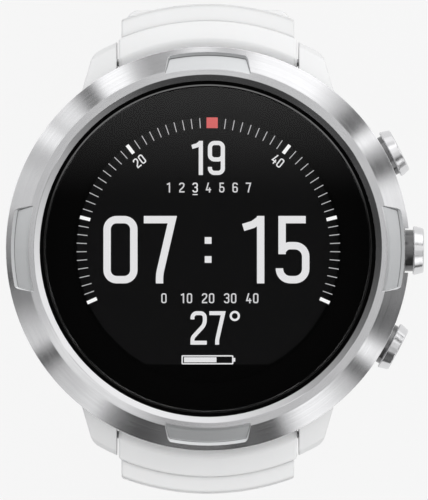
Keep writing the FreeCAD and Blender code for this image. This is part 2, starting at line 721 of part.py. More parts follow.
def lugs():
    """Four lugs, bounded above and at their ends by one turned shape."""
    bounds = [
        (back_recess(), s.lug_bottom),
        (s.bezel_radius, s.lug_bottom),
        (s.lug_reach, s.lug_end_foot),
        (s.lug_reach, s.lug_end_top),
        (s.lug_reach - 0.5, s.lug_end_top + 0.8),
        (s.bezel_radius, s.lug_top),
        (back_recess(), s.lug_top),
    ]
    solids = []
    for side_y in (SHORT_SIDE, LONG_SIDE):
        for side_x in (1, -1):
            name = f"lug_block_{len(solids) + 1}"
            outline = lug_outline(side_x, side_y)
            solids.append(padded(name, outline, s.case_height, start=as_size(0)))
    return shared("lugs", revolved("lug_bounds", bounds), fused("lug_blocks", *solids))


def strap_recess(number, side_y):
    """Room for the strap's head between two lugs."""
    depth = s.lug_reach - s.lug_cut + BEYOND
    return box(
        f"strap_recess_{number}", 2 * s.lug_inner, depth, s.case_height + 2 * BEYOND,
        as_size(0), side_y * (s.lug_cut + depth / 2), as_size(-BEYOND / 2),
    )


def tube_bore(name, angle):
    """Stepped bore of one button tube."""
    wide = s.tube_radius + s.set_gap / 2
    narrow = s.tube_tail_radius + s.set_gap / 2
    outline = [
        (s.cavity_radius - BEYOND, 0),
        (s.case_radius + BEYOND, 0),
        (s.case_radius + BEYOND, wide),
        (s.tube_shoulder, wide),
        (s.tube_shoulder, narrow),
        (s.cavity_radius - BEYOND, narrow),
    ]
    return place(revolved(name, outline, "H_Axis"), z=s.pusher_level, angle=angle)


def sensor_bore():
    """Stepped bore of the depth sensor, on the side away from the buttons."""
    wide = s.port_radius + s.set_gap
    middle = s.sensor_radius + s.set_gap
    narrow = s.sensor_tail_radius + s.set_gap
    outline = [
        (s.cavity_radius - BEYOND, 0),
        (s.case_radius + BEYOND, 0),
        (s.case_radius + BEYOND, wide),
        (s.port_start, wide),
        (s.port_start, middle),
        (s.sensor_shoulder, middle),
        (s.sensor_shoulder, narrow),
        (s.cavity_radius - BEYOND, narrow),
    ]
    return place(revolved("sensor_bore", outline, "H_Axis"), z=s.sensor_level, angle=180)


def tip_holes():
    """Holes in the lugs for the tips of the spring bars."""
    radius = s.tip_radius + s.run_gap
    end = s.lug_inner + s.tip_hole_depth
    holes = []
    for side_y in (SHORT_SIDE, LONG_SIDE):
        name = f"tip_hole_{len(holes) + 1}"
        y = side_y * s.pivot_reach
        holes.append(cylinder_x(name, radius, -end, end, y, s.pivot_level))
    return holes


def screw_points():
    """Centres of the case back's screws, with a number and the signs of x and y."""
    reach = s.screw_circle * cosine(45)
    signs = [(1, 1), (-1, 1), (-1, -1), (1, -1)]
    return [(number, x * reach, y * reach) for number, (x, y) in enumerate(signs, start=1)]


def screw_holes():
    """Blind holes for the case back's screws."""
    radius = s.screw_radius + s.set_gap
    return [
        cylinder(f"case_screw_hole_{number}", radius, s.screw_reach + s.set_gap, x, y, 0)
        for number, x, y in screw_points()
    ]


def mid_case():
    """White mid case with its lugs and every bore in it."""
    shell = fused("mid_case_blank", revolved("mid_case_wall", case_profile()), lugs())
    tools = [strap_recess(1, SHORT_SIDE), strap_recess(2, LONG_SIDE), sensor_bore()]
    tools += [tube_bore(f"{name}_bore", angle) for name, angle in pushers()]
    tools += tip_holes() + screw_holes()
    case_piece(cut("mid_case", shell, *tools))


# ---------------------------------------------------------------- case back
def contact_slot(label, room, bottom, height):
    """Block under the charging contacts, wider by `room` on every side."""
    return box(
        label, s.block_length + 2 * room, s.block_width + 2 * room, height,
        as_size(0), -s.contact_reach, bottom,
    )


def case_back():
    """Case back with counterbored screw holes and the slot for the contact block."""
    outline = [
        (0, 0),
        (s.back_radius - s.back_edge, 0),
        (s.back_radius, s.back_edge),
        (s.back_radius, s.back_thickness),
        (0, s.back_thickness),
    ]
    width = s.back_radius * 2 + BEYOND
    flat = s.lug_cut - s.set_gap
    blank = place(revolved("case_back_disc", outline), angle=90)
    keep = box(
        "case_back_flats", width, 2 * flat, s.back_thickness + 2 * BEYOND,
        as_size(0), as_size(0), as_size(-BEYOND),
    )
    tools = [contact_slot("contact_opening", s.set_gap, as_size(-BEYOND), 3 * as_size(BEYOND))]
    for number, x, y in screw_points():
        shank = s.screw_radius + s.set_gap
        head = s.screw_head_radius + s.set_gap
        tools.append(cylinder(f"back_hole_{number}", shank, s.back_thickness + 1, x, y, 0))
        tools.append(cylinder(f"back_sink_{number}", head, s.screw_head_height + s.set_gap, x, y, 0))
    case_piece(cut("case_back", shared("case_back_blank", blank, keep), *tools))


def case_back_gasket():
    """Gasket between the case back and the mid case."""
    outer = s.back_seal_radius + s.back_seal_width
    label = "case_back_gasket"
    case_piece(ring(label, s.back_seal_radius, outer, s.back_thickness, s.back_seal_height))


def case_back_screws():
    """Four slotted screws."""
    screws = []
    for number, x, y in screw_points():
        base = s.set_gap
        head = cylinder(f"screw_head_{number}", s.screw_head_radius, s.screw_head_height, x, y, base)
        shank = cylinder(f"screw_shank_{number}", s.screw_radius, s.screw_reach - base, x, y, base)
        slot = box(
            f"screw_slot_{number}", 3 * s.screw_head_radius, s.screw_slot, 2 * s.screw_slot,
            x, y, base - s.screw_slot,
        )
        screws.append(cut(f"screw_{number}", fused(f"screw_blank_{number}", head, shank), slot))
    case_piece(group("case_back_screws", *screws))


def contact_positions():
    """x of the four charging contacts."""
    return [s.contact_spacing * step for step in (-1.5, -0.5, 0.5, 1.5)]


def contact_block():
    """Insulator that carries the charging contacts, with a lip inside the case."""
    body = contact_slot("contact_block_body", 0, 0, s.back_thickness)
    lip = contact_slot("contact_block_lip", s.block_lip, s.back_thickness, s.block_lip_height)
    height = s.back_thickness + s.block_lip_height
    radius = s.contact_radius + s.set_gap
    holes = [
        cylinder(f"contact_hole_{number}", radius, height + BEYOND, x, -s.contact_reach, -1)
        for number, x in enumerate(contact_positions(), start=1)
    ]
    case_piece(cut("contact_block", fused("contact_block_blank", body, lip), *holes))


def charging_contacts():
    """Four round contacts, flush with the case back."""
    height = s.back_thickness + s.block_lip_height
    pins = [
        cylinder(f"contact_pin_{number}", s.contact_radius, height, x, -s.contact_reach, 0)
        for number, x in enumerate(contact_positions(), start=1)
    ]
    case_piece(group("charging_contacts", *pins))


def piezo_buzzer():
    """Sounder on the inside of the case back: a plate with a crystal on it."""
    plate_top = s.back_thickness + s.buzzer_thickness
    outline = [
        (0, s.back_thickness),
        (s.buzzer_radius, s.back_thickness),
        (s.buzzer_radius, plate_top),
        (s.crystal_radius, plate_top),
        (s.crystal_radius, plate_top + s.crystal_thickness),
        (0, plate_top + s.crystal_thickness),
    ]
    case_piece(revolved("piezo_buzzer", outline))


# ---------------------------------------------------------------- inside the case
def battery_tray():
    """Carrier with a well for the cell and one for the motor, lowered under the switches."""
    top = s.board_level - s.tray_gap
    floor = s.tray_bottom + s.tray_floor
    blank = disc("tray_blank", s.tray_radius, s.tray_bottom, top - s.tray_bottom)
    well = s.cell_radius + 2 * s.set_gap
    cell_well = cylinder("cell_well", well, top, s.cell_x, s.cell_y, floor)
    motor_well = cylinder(
        "motor_well", s.motor_radius + 2 * s.set_gap, top, s.motor_x, -s.motor_reach, floor
    )
    reach = s.tray_radius - s.tray_step_x + BEYOND
    step = box(
        "tray_step", reach, 2 * s.tray_radius + BEYOND, top,
        s.tray_step_x + reach / 2, as_size(0), s.tray_step_level,
    )
    case_piece(cut("battery_tray", blank, cell_well, motor_well, step))


def battery_cell():
    """Round cell with a stepped cap."""
    shoulder = s.cell_height - s.cell_cap_height
    outline = [
        (0, 0),
        (s.cell_radius, 0),
        (s.cell_radius, shoulder),
        (s.cell_cap_radius, shoulder),
        (s.cell_cap_radius, s.cell_height),
        (0, s.cell_height),
    ]
    level = s.case_level + s.tray_bottom + s.tray_floor
    piece(place(revolved("battery_cell", outline), s.cell_x, s.cell_y, level))


def vibration_motor():
    """Flat motor: a closed can around a fixed shaft."""
    inner = s.motor_radius - s.motor_wall
    top = s.motor_height - s.motor_wall
    outline = [
        (0, 0),
        (s.motor_radius, 0),
        (s.motor_radius, s.motor_height),
        (0, s.motor_height),
        (0, top),
        (inner, top),
        (inner, s.motor_wall),
        (s.motor_pin_radius, s.motor_wall),
        (s.motor_pin_radius, top - s.motor_wall),
        (0, top - s.motor_wall),
    ]
    level = s.case_level + s.tray_bottom + s.tray_floor
    piece(place(revolved("vibration_motor", outline), s.motor_x, -s.motor_reach, level))


def motor_weight():
    """Half-round weight that turns on the motor's shaft."""
    bottom = s.motor_wall + 2 * s.set_gap
    disc_blank = disc("weight_disc", s.weight_radius, bottom, s.weight_height)
    hub = disc("weight_hub", s.motor_pin_radius * 2.5, bottom, s.weight_height)
    half = box(
        "weight_half", 2 * s.weight_radius + 1, s.weight_radius + 1, s.motor_height,
        as_size(0), -(s.weight_radius + 1) / 2, as_size(0),
    )
    lobe = shared("weight_lobe", disc_blank, half)
    bore = cylinder("weight_bore", s.motor_pin_radius + s.run_gap, s.motor_height, 0, 0, 0)
    weight = cut("motor_weight", fused("weight_blank", lobe, hub), bore)
    level = s.case_level + s.tray_bottom + s.tray_floor
    piece(place(weight, s.motor_x, -s.motor_reach, level))


def main_board():
    """Round circuit board."""
    case_piece(disc("main_board", s.board_radius, s.board_level, s.board_thickness))


def processor_shield():
    """Shield can over the processor, open towards the board."""
    board_top = s.board_level + s.board_thickness
    inside = s.shield_width - 2 * s.shield_wall
    centre = as_size(0)
    can = box(
        "shield_block", s.shield_width, s.shield_width, s.shield_height, centre, centre, board_top
    )
    room = box(
        "shield_room", inside, inside, s.shield_height, centre, centre, board_top - s.shield_wall
    )
    case_piece(cut("processor_shield", can, room))


def display_levels():
    """Heights of the backlight guide and of the display panel."""
    guide = s.board_level + s.board_thickness + s.frame_floor + s.set_gap
    panel = guide + s.guide_thickness + s.set_gap
    return guide, panel


def flex_slot(label, room):
    """The display flex, wider by `room` on every side."""
    board_top = s.board_level + s.board_thickness
    return box(
        label, s.flex_width + 2 * room, s.flex_thickness + 2 * room, s.frame_floor,
        as_size(0), -s.flex_reach, board_top,
    )


def display_frame():
    """Frame on the board that holds the display and the backlight guide."""
    board_top = s.board_level + s.board_thickness
    wall = s.display_radius + 2 * s.set_gap
    outline = [
        (s.frame_bore_radius, board_top),
        (s.frame_radius, board_top),
        (s.frame_radius, board_top + s.frame_height),
        (wall, board_top + s.frame_height),
        (wall, board_top + s.frame_floor),
        (s.frame_bore_radius, board_top + s.frame_floor),
    ]
    slot = flex_slot("flex_opening", 3 * s.set_gap)
    case_piece(cut("display_frame", revolved("display_frame_blank", outline), slot))


def display_flex():
    """Flat ribbon from the display down to the board."""
    case_piece(group("display_flex", flex_slot("flex_ribbon", as_size(0))))


def display_stack():
    """Backlight guide with the display panel above it."""
    guide, panel = display_levels()
    case_piece(disc("backlight_guide", s.display_radius, guide, s.guide_thickness))
    case_piece(disc("display_panel", s.display_radius, panel, s.panel_thickness))


# ---------------------------------------------------------------- buttons
def pushers():
    """Name and angle of each button."""
    return [
        ("upper_pusher", s.upper_angle),
        ("middle_pusher", s.middle_angle),
        ("lower_pusher", s.lower_angle),
    ]


def pusher(name, angle):
    """Button: domed head, neck, and a stem with grooves for its O-rings and its clip."""
    clip_end = s.clip_start + s.clip_thickness + s.set_gap
    half = s.oring_cord + s.set_gap
    outline = [
        (s.stem_end, 0),
        (s.stem_end, s.stem_radius),
        (s.clip_start - s.set_gap, s.stem_radius),
        (s.clip_start - s.set_gap, s.groove_radius),
        (clip_end, s.groove_radius),
        (clip_end, s.stem_radius),
        (s.oring_inner - half, s.stem_radius),
        (s.oring_inner - half, s.groove_radius),
        (s.oring_inner + half, s.groove_radius),
        (s.oring_inner + half, s.stem_radius),
        (s.oring_outer - half, s.stem_radius),
        (s.oring_outer - half, s.groove_radius),
        (s.oring_outer + half, s.groove_radius),
        (s.oring_outer + half, s.stem_radius),
        (s.neck_end, s.stem_radius),
        (s.neck_end, s.neck_radius),
        (s.head_inner, s.neck_radius),
        (s.head_inner, s.head_radius - s.head_edge),
        (s.head_inner + s.head_edge, s.head_radius),
        (s.head_outer - s.head_edge, s.head_face_radius),
        (s.head_outer, s.head_face_radius - s.head_edge),
        (s.head_outer + s.head_edge / 2, 0),
    ]
    radial_piece(revolved(name, outline, "H_Axis"), angle, s.pusher_level)


def pusher_orings(name, angle):
    """Two O-rings on a button's stem."""
    ring_radius = s.groove_radius + s.oring_cord + s.set_gap / 4
    inner = torus(f"{name}_oring_1", ring_radius, s.oring_cord, s.oring_inner)
    outer = torus(f"{name}_oring_2", ring_radius, s.oring_cord, s.oring_outer)
    radial_piece(group(f"{name}_orings", inner, outer), angle, s.pusher_level)


def pusher_clip(name, angle):
    """Open clip that keeps a button from coming out."""
    end = s.clip_start + s.clip_thickness
    bore = s.groove_radius + s.set_gap / 2
    outline = [
        (s.clip_start, bore),
        (end, bore),
        (end, s.clip_radius),
        (s.clip_start, s.clip_radius),
    ]
    blank = revolved(f"{name}_clip_ring", outline, "H_Axis")
    mouth = box(
        f"{name}_clip_mouth", s.clip_thickness * 3, s.clip_mouth, s.clip_radius + 1,
        s.clip_start, as_size(0), -s.clip_radius - 1,
    )
    radial_piece(cut(f"{name}_clip", blank, mouth), angle, s.pusher_level)


def pusher_tube(name, angle):
    """Tube that guides a button, with a floor for its spring."""
    bore = s.neck_radius + s.run_gap
    stem_bore = s.stem_radius + s.run_gap
    outline = [
        (s.tube_tail_start, stem_bore),
        (s.spring_floor, stem_bore),
        (s.spring_floor, bore),
        (s.tube_end, bore),
        (s.tube_end, s.tube_radius),
        (s.tube_shoulder, s.tube_radius),
        (s.tube_shoulder, s.tube_tail_radius),
        (s.tube_tail_start, s.tube_tail_radius),
    ]
    radial_piece(revolved(f"{name}_tube", outline, "H_Axis"), angle, s.pusher_level)


def pusher_spring(name, angle):
    """Return spring between a tube's floor and a button's neck."""
    gap = s.set_gap / 2
    start = s.spring_floor + gap
    length = s.neck_end - s.spring_floor - 2 * gap
    wire = s.spring_wire
    spring = coil(f"{name}_spring", s.spring_radius, wire, s.spring_turns, start, length)
    radial_piece(spring, angle, s.pusher_level)


def side_switch(name, angle):
    """Switch under the board, in line with a button."""
    depth = s.switch_outer - s.switch_inner
    height = 2 * (s.board_level - s.pusher_level)
    body = box(
        f"{name}_switch_body", depth, s.switch_width, height,
        s.switch_inner + depth / 2, as_size(0), -height / 2,
    )
    start = s.plunger_inner - s.pusher_travel - s.set_gap
    bore = cylinder_x(
        f"{name}_switch_bore", s.plunger_radius + s.run_gap, start, s.switch_outer + 1, 0, 0
    )
    radial_piece(cut(f"{name}_switch", body, bore), angle, s.pusher_level)


def switch_plunger(name, angle):
    """Plunger that a button's stem pushes."""
    end = s.stem_end - s.plunger_gap
    rod = cylinder_x(f"{name}_plunger_rod", s.plunger_radius, s.plunger_inner, end, 0, 0)
    radial_piece(group(f"{name}_plunger", rod), angle, s.pusher_level)


# ---------------------------------------------------------------- depth sensor
def pressure_sensor():
    """Depth sensor: tail towards the board, body, and a nose inside its O-ring."""
    outline = [
        (s.sensor_tail_start, 0),
        (s.sensor_end, 0),
        (s.sensor_end, s.sensor_nose_radius),
        (s.sensor_step, s.sensor_nose_radius),
        (s.sensor_step, s.sensor_radius),
        (s.sensor_shoulder + s.set_gap, s.sensor_radius),
        (s.sensor_shoulder + s.set_gap, s.sensor_tail_radius),
        (s.sensor_tail_start, s.sensor_tail_radius),
    ]
    radial_piece(revolved("pressure_sensor", outline, "H_Axis"), 180, s.sensor_level)


def sensor_oring():
    """O-ring around the nose of the depth sensor."""
    where = s.sensor_step + s.sensor_seal_cord
    loop = torus("sensor_oring_loop", s.sensor_seal_radius, s.sensor_seal_cord, where)
    radial_piece(group("sensor_oring", loop), 180, s.sensor_level)


def sensor_port_cover():
    """Round cover with a hole in the middle and five around it."""
    end = s.port_start + s.port_thickness
    blank = cylinder_x("port_cover_blank", s.port_radius, s.port_start, end, 0, 0)
    radius = s.port_hole_radius
    holes = [cylinder_x("port_hole_middle", radius, s.port_start - 1, end + 1, 0, 0)]
    for number in range(5):
        y = s.port_hole_circle * cosine(72 * number)
        z = s.port_hole_circle * sine(72 * number)
        name = f"port_hole_{number + 1}"
        holes.append(cylinder_x(name, radius, s.port_start - 1, end + 1, y, z))
    radial_piece(cut("sensor_port_cover", blank, *holes), 180, s.sensor_level)


# ---------------------------------------------------------------- strap
def bend_point(radius, angle, side=SHORT_SIDE):
    """Point of the strap's bend, at an angle from straight down."""
    return (
        side * (s.loop_flat + radius * sine(angle)),
        s.loop_radius - radius * cosine(angle),
    )


def bend_sector(label, inner, outer, start, end, width, side=SHORT_SIDE):
    """Slice of the strap's bend between two radii and two angles."""
    outline = [
        bend_point(inner, start, side),
        bend_point(outer, start, side) + (side * outer,),
        bend_point(outer, end, side),
        bend_point(inner, end, side) + (-side * inner,),
    ]
    return padded(label, outline, width, plane="YZ_Plane")


def round_end(side=SHORT_SIDE):
    """Strap's end around the buckle bar, from the outside to the inside, as two arcs."""
    inner = s.loop_radius - s.strap_thickness
    middle = s.loop_radius - s.strap_thickness / 2
    radius = s.strap_thickness / 2
    centre = bend_point(middle, s.buckle_angle, side)
    apex = (
        centre[0] - side * radius * cosine(s.buckle_angle),
        centre[1] - radius * sine(s.buckle_angle),
    )
    outer_point = bend_point(s.loop_radius, s.buckle_angle, side)
    inner_point = bend_point(inner, s.buckle_angle, side)
    turn = -side * radius
    return [outer_point + (turn,), apex + (turn,), inner_point + (side * inner,)]


def square_end(side=LONG_SIDE):
    """Strap's flat and its end on the ground, from the outside to the inside."""
    inner = s.loop_radius - s.strap_thickness
    flat_outer = (side * s.loop_flat, as_size(0))
    end_outer = (-side * s.tail_end, as_size(0))
    end_inner = (-side * s.tail_end, s.strap_thickness)
    flat_inner = (side * s.loop_flat, s.strap_thickness)
    return [flat_outer, end_outer, end_inner, flat_inner + (side * inner,)]


def strap_side_outline(side, end_points):
    """Strap half from the side: head, straight, bend, end, and back along the inside."""
    level = s.case_level
    top = level + s.case_height
    outside = s.loop_flat + s.loop_radius
    inside = outside - s.strap_thickness
    outer_curve = tangent_radius(outside - s.leg_reach, level + s.leg_top - s.loop_radius)
    inner_top = level - s.leg_inner_drop
    inner_curve = tangent_radius(inside - s.leg_inner_reach, inner_top - s.loop_radius)
    pivot = level + s.pivot_level
    heel = s.lug_cut + s.heel_gap
    eye_y = s.pivot_reach - s.eye_radius * cosine(s.eye_slant_angle)
    eye_z = pivot + s.eye_radius * sine(s.eye_slant_angle)
    slant_y = eye_y + (top - eye_z) * sine(s.eye_slant_angle) / cosine(s.eye_slant_angle)
    head = [
        (side * (s.strap_head_radius + 1), top),
        (side * (s.strap_head_radius + 1), level + s.head_underside),
        (side * s.leg_reach, level + s.leg_top, -side * outer_curve),
        (side * outside, s.loop_radius, -side * s.loop_radius),
    ]
    inner = [
        (side * inside, s.loop_radius, side * inner_curve),
        (side * s.leg_inner_reach, inner_top),
        (side * s.heel_reach, level + s.heel_bottom),
        (side * heel, level + s.heel_foot),
        (side * heel, level + s.heel_top),
        (side * (s.pivot_reach - s.eye_radius), pivot, -side * s.eye_radius),
        (side * eye_y, eye_z),
        (side * slant_y, top),
    ]
    return head + end_points + inner


def strap_front_outline():
    """Strap from the front: the head, the step below it and the taper to the buckle."""
    level = s.case_level
    right = [
        (s.tail_half, as_size(-BEYOND)),
        (s.tail_half, level - s.taper_drop),
        (s.leg_half, level),
        (s.leg_half, level + s.head_step_level),
        (s.strap_half, level + s.head_step_level),
        (s.strap_half, level + s.case_height + BEYOND),
    ]
    left = [(-x, z) for x, z in reversed(right)]
    return right + left


def strap_cover(label):
    """Turned shape that bounds the strap's head with rings around the case axis."""
    bottom = -s.case_level - BEYOND
    far = 2 * s.strap_head_radius
    fall = s.crest_level - s.crest_radius * s.crest_slope
    outline = [
        (0, bottom),
        (far, bottom),
        (far, s.head_foot),
        (s.strap_head_radius, s.head_foot),
        (s.strap_head_radius, s.head_edge_level - s.head_round),
        (s.strap_head_radius - s.head_round / 2, s.head_edge_level),
        (s.step_radius, s.step_foot),
        (s.step_radius, s.step_top),
        (s.crest_radius, s.crest_level),
        (0, fall),
    ]
    return place(revolved(label, outline), z=s.case_level)


def strap_blank(name, side, end_points):
    """Strap half before its holes are cut."""
    side_view = padded(
        f"{name}_side", strap_side_outline(side, end_points), 3 * s.strap_half, plane="YZ_Plane"
    )
    front_view = padded(
        f"{name}_front", strap_front_outline(), 5 * s.strap_head_radius, plane="XZ_Plane"
    )
    return side_view, front_view


def bar_tools(name, side):
    """Bore for the spring bar and the slot for the lever of its release pin."""
    y = side * s.pivot_reach
    z = s.case_level + s.pivot_level
    reach = s.strap_half + BEYOND
    bore = cylinder_x(f"{name}_eye", s.bar_radius + s.run_gap, -reach, reach, y, z)
    width = 2 * (s.lever_radius + s.lever_gap)
    length = width + s.release_travel
    slot = box(
        f"{name}_lever_slot", length, width, s.lever_length + BEYOND,
        s.lever_x + s.release_travel / 2, y, z - s.lever_length - BEYOND,
    )
    return [bore, slot]


def strap_short():
    """Short strap half, which carries the buckle."""
    name = "strap_short"
    side_view, front_view = strap_blank(name, SHORT_SIDE, bend_end())
    blank = shared(f"{name}_blank", side_view, front_view, strap_cover(f"{name}_cover"))
    bar = buckle_bar_point()
    reach = s.tail_half + BEYOND
    radius = s.buckle_bar_radius + 2 * s.run_gap
    bar_bore = cylinder_x("buckle_bar_bore", radius, -reach, reach, *bar)
    room = s.tongue_width + 2 * s.tongue_gap
    inner = s.loop_radius - s.strap_thickness - 1
    tongue_room = bend_sector(
        "tongue_room", inner, s.loop_radius + 1, s.buckle_angle - 12, s.buckle_angle + 8, room
    )
    tools = bar_tools(name, SHORT_SIDE) + [bar_bore, tongue_room]
    piece(cut(name, blank, *tools))


def bend_end():
    """End of the short strap half, where the strap wraps the buckle bar."""
    return round_end(SHORT_SIDE)


def strap_hole(number, y, z, angle):
    """Hole through the strap, straight out of its face."""
    length = s.strap_thickness * 3
    start_y = y + length / 2 * sine(angle)
    start_z = z + length / 2 * cosine(angle)
    name = f"strap_hole_{number}"
    return cylinder(name, s.hole_radius, length, 0, start_y, start_z, X_AXIS, 180 - angle)


def strap_holes():
    """Holes of the long strap half: five along the bend, then four up the straight."""
    middle = s.loop_radius - s.strap_thickness / 2
    holes = []
    for number in range(5):
        angle = s.hole_start_angle + s.hole_step_angle * number
        y, z = bend_point(middle, angle, LONG_SIDE)
        holes.append(strap_hole(number + 1, y, z, angle))
    for number in range(1, 4):
        y = -(s.loop_flat + middle)
        z = s.loop_radius + s.hole_pitch * (number - 0.3)
        holes.append(strap_hole(number + 5, y, z, as_size(90)))
    return holes


def tail_outline():
    """Rounded tip of the long strap half, seen from above."""
    half = s.strap_half + 1
    centre = s.tail_end - s.tail_round
    shoulder = centre + root(s.tail_round * s.tail_round - half * half)
    far = -s.strap_head_radius - BEYOND
    return [(-half, far), (half, far), (half, shoulder, s.tail_round), (0, s.tail_end, s.tail_round),
            (-half, shoulder)]


def strap_long():
    """Long strap half, which the whole computer stands on."""
    name = "strap_long"
    side_view, front_view = strap_blank(name, LONG_SIDE, square_end())
    tail = padded(f"{name}_tip", tail_outline(), s.case_level * 2, start=as_size(-BEYOND))
    cover = strap_cover(f"{name}_cover")
    blank = shared(f"{name}_blank", side_view, front_view, tail, cover)
    piece(cut(name, blank, *bar_tools(name, LONG_SIDE), *strap_holes()))


# ---------------------------------------------------------------- spring bars
def bar_placement(shape, side):
    """Move a piece that lies along x to the pivot of a strap half and register it."""
    return piece(place(shape, 0, side * s.pivot_reach, s.case_level + s.pivot_level))


def spring_bar(name, side):
    """Tube with one fixed tip, a bore for the release pin and a slot for its lever."""
    outline = [
        (-s.bar_half, s.bar_bore_radius),
        (s.bar_bore_end, s.bar_bore_radius),
        (s.bar_bore_end, 0),
        (s.tip_reach, 0),
        (s.tip_reach, s.tip_radius),
        (s.bar_half, s.tip_radius),
        (s.bar_half, s.bar_radius),
        (-s.bar_half, s.bar_radius),
    ]
    width = 2 * (s.lever_radius + s.run_gap)
    slot = box(
        f"{name}_slot", width + s.release_travel, width, 2 * s.bar_radius,
        s.lever_x + s.release_travel / 2, as_size(0), -2 * s.bar_radius,
    )
    bar_placement(cut(name, revolved(f"{name}_tube", outline, "H_Axis"), slot), side)


def release_pin(name, side):
    """Sliding tip of a spring bar, with the lever that draws it back."""
    tip = cylinder_x(f"{name}_tip", s.tip_radius, -s.tip_reach, s.release_inner, 0, 0)
    lever = cylinder(
        f"{name}_lever", s.lever_radius, s.lever_length, s.lever_x, 0, -s.lever_length
    )
    bar_placement(fused(name, tip, lever), side)


def bar_spring(name, side):
    """Spring behind the release pin."""
    gap = s.set_gap / 2
    start = s.release_inner + gap
    length = s.bar_bore_end - s.release_inner - 2 * gap
    wire = s.bar_spring_wire
    spring = coil(name, s.bar_spring_radius, wire, s.bar_spring_turns, start, length)
    bar_placement(spring, side)


# ---------------------------------------------------------------- buckle and keepers
def buckle_bar_point():
    """y and z of the buckle bar."""
    return bend_point(s.loop_radius - s.strap_thickness / 2, s.buckle_angle)


def buckle_outline():
    """Buckle frame from the side: it follows the bend and is round about the bar."""
    radius = s.buckle_thickness / 2
    middle = s.loop_radius - s.strap_thickness / 2
    inner = middle - radius
    outer = middle + radius
    centre = buckle_bar_point()
    apex = (
        centre[0] + radius * cosine(s.buckle_angle),
        centre[1] + radius * sine(s.buckle_angle),
    )
    return [
        bend_point(inner, s.buckle_start_angle),
        bend_point(outer, s.buckle_start_angle) + (outer,),
        bend_point(outer, s.buckle_angle) + (radius,),
        apex + (radius,),
        bend_point(inner, s.buckle_angle) + (-inner,),
    ]


def buckle_frame():
    """Frame with two arms, a front bar and a rest for the tongue."""
    half = s.tail_half + s.buckle_gap
    inner = s.loop_radius - s.strap_thickness - BEYOND
    outer = s.loop_radius + BEYOND
    blank = padded(
        "buckle_frame_blank", buckle_outline(), 2 * (half + s.buckle_arm), plane="YZ_Plane"
    )
    opening = bend_sector(
        "buckle_opening", inner, outer, s.buckle_rail_angle, s.buckle_angle + 10, 2 * half
    )
    middle = s.loop_radius - s.strap_thickness / 2
    rest_floor = middle + s.buckle_thickness / 2 - s.tongue_thickness - s.set_gap
    rest = bend_sector(
        "tongue_rest", rest_floor, outer, as_size(0), s.buckle_rail_angle + 1,
        s.tongue_width + s.tongue_gap,
    )
    reach = half + s.buckle_arm + BEYOND
    bar = buckle_bar_point()
    bore = cylinder_x("buckle_frame_bore", s.buckle_bar_radius + s.set_gap / 2, -reach, reach, *bar)
    piece(cut("buckle_frame", blank, opening, rest, bore))


def buckle_bar():
    """Bar through the frame, the tongue and the strap's end."""
    reach = s.tail_half + s.buckle_gap + s.buckle_arm - 2 * s.set_gap
    rod = cylinder_x("buckle_bar_rod", s.buckle_bar_radius, -reach, reach, *buckle_bar_point())
    piece(group("buckle_bar", rod))


def buckle_tongue():
    """Tongue: an eye around the bar and a curved blade that rests on the front bar."""
    middle = s.loop_radius - s.strap_thickness / 2
    outer = middle + s.buckle_thickness / 2
    half = s.tongue_width / 2
    bar = buckle_bar_point()
    blade = bend_sector(
        "tongue_blade", outer - s.tongue_thickness, outer, s.buckle_start_angle + 0.6,
        s.buckle_angle, s.tongue_width,
    )
    eye = cylinder_x("tongue_eye", s.tongue_eye_radius, -half, half, *bar)
    bore = cylinder_x(
        "tongue_bore", s.buckle_bar_radius + s.run_gap, -half - 1, half + 1, *bar
    )
    piece(cut("buckle_tongue", fused("tongue_blank", blade, eye), bore))


def keeper(name, start, end, gap):
    """Loop around the strap with room for the tail on the outside."""
    inner = s.loop_radius - s.strap_thickness - gap
    outer = s.loop_radius + s.keeper_room
    half = s.tail_half + s.keeper_side_gap
    blank = bend_sector(
        f"{name}_blank", inner - s.keeper_wall, outer + s.keeper_wall, start, end,
        2 * (half + s.keeper_wall),
    )
    through = s.through_angle
    room = bend_sector(f"{name}_room", inner, outer, start - through, end + through, 2 * half)
    piece(cut(name, blank, room))


# ---------------------------------------------------------------- whole model
def build():
    """Build every piece."""
    bezel_ring()
    front_glass()
    glass_gasket()
    bezel_gasket()
    mid_case()
    case_back()
    case_back_gasket()
    case_back_screws()
    contact_block()
    charging_contacts()
    piezo_buzzer()
    battery_tray()
    battery_cell()
    vibration_motor()
    motor_weight()
    main_board()
    processor_shield()
    display_frame()
    display_flex()
    display_stack()
    for name, angle in pushers():
        pusher(name, angle)
        pusher_orings(name, angle)
        pusher_clip(name, angle)
        pusher_tube(name, angle)
        pusher_spring(name, angle)
        side_switch(name, angle)
        switch_plunger(name, angle)
    pressure_sensor()
    sensor_oring()
    sensor_port_cover()
    strap_short()
    strap_long()
    for name, side in (("12", SHORT_SIDE), ("6", LONG_SIDE)):
        spring_bar(f"spring_bar_{name}", side)
        release_pin(f"release_pin_{name}", side)
        bar_spring(f"release_spring_{name}", side)
    buckle_frame()
    buckle_bar()
    buckle_tongue()
    keeper("fixed_keeper", s.fixed_start_angle, s.fixed_end_angle, s.set_gap)
    keeper("sliding_keeper", s.sliding_start_angle, s.sliding_end_angle, s.keeper_gap)


def check():
    """Raise if an object failed, a shape is not a valid solid or a cut removed nothing."""
    for thing in DOC.Objects:
        bad = {"Invalid", "Error"} & set(thing.State)
        if bad:
            raise RuntimeError(f"{thing.Label}: {bad}")
        if thing.TypeId == "Part::Cut" and thing.Shape.Volume >= thing.Base.Shape.Volume - 1e-4:
            raise RuntimeError(f"{thing.Label}: nothing was cut away")
    for shape in PIECES:
        if shape.Shape.isNull() or not shape.Shape.isValid() or not shape.Shape.Solids:
            raise RuntimeError(f"{shape.Label}: no valid solid")


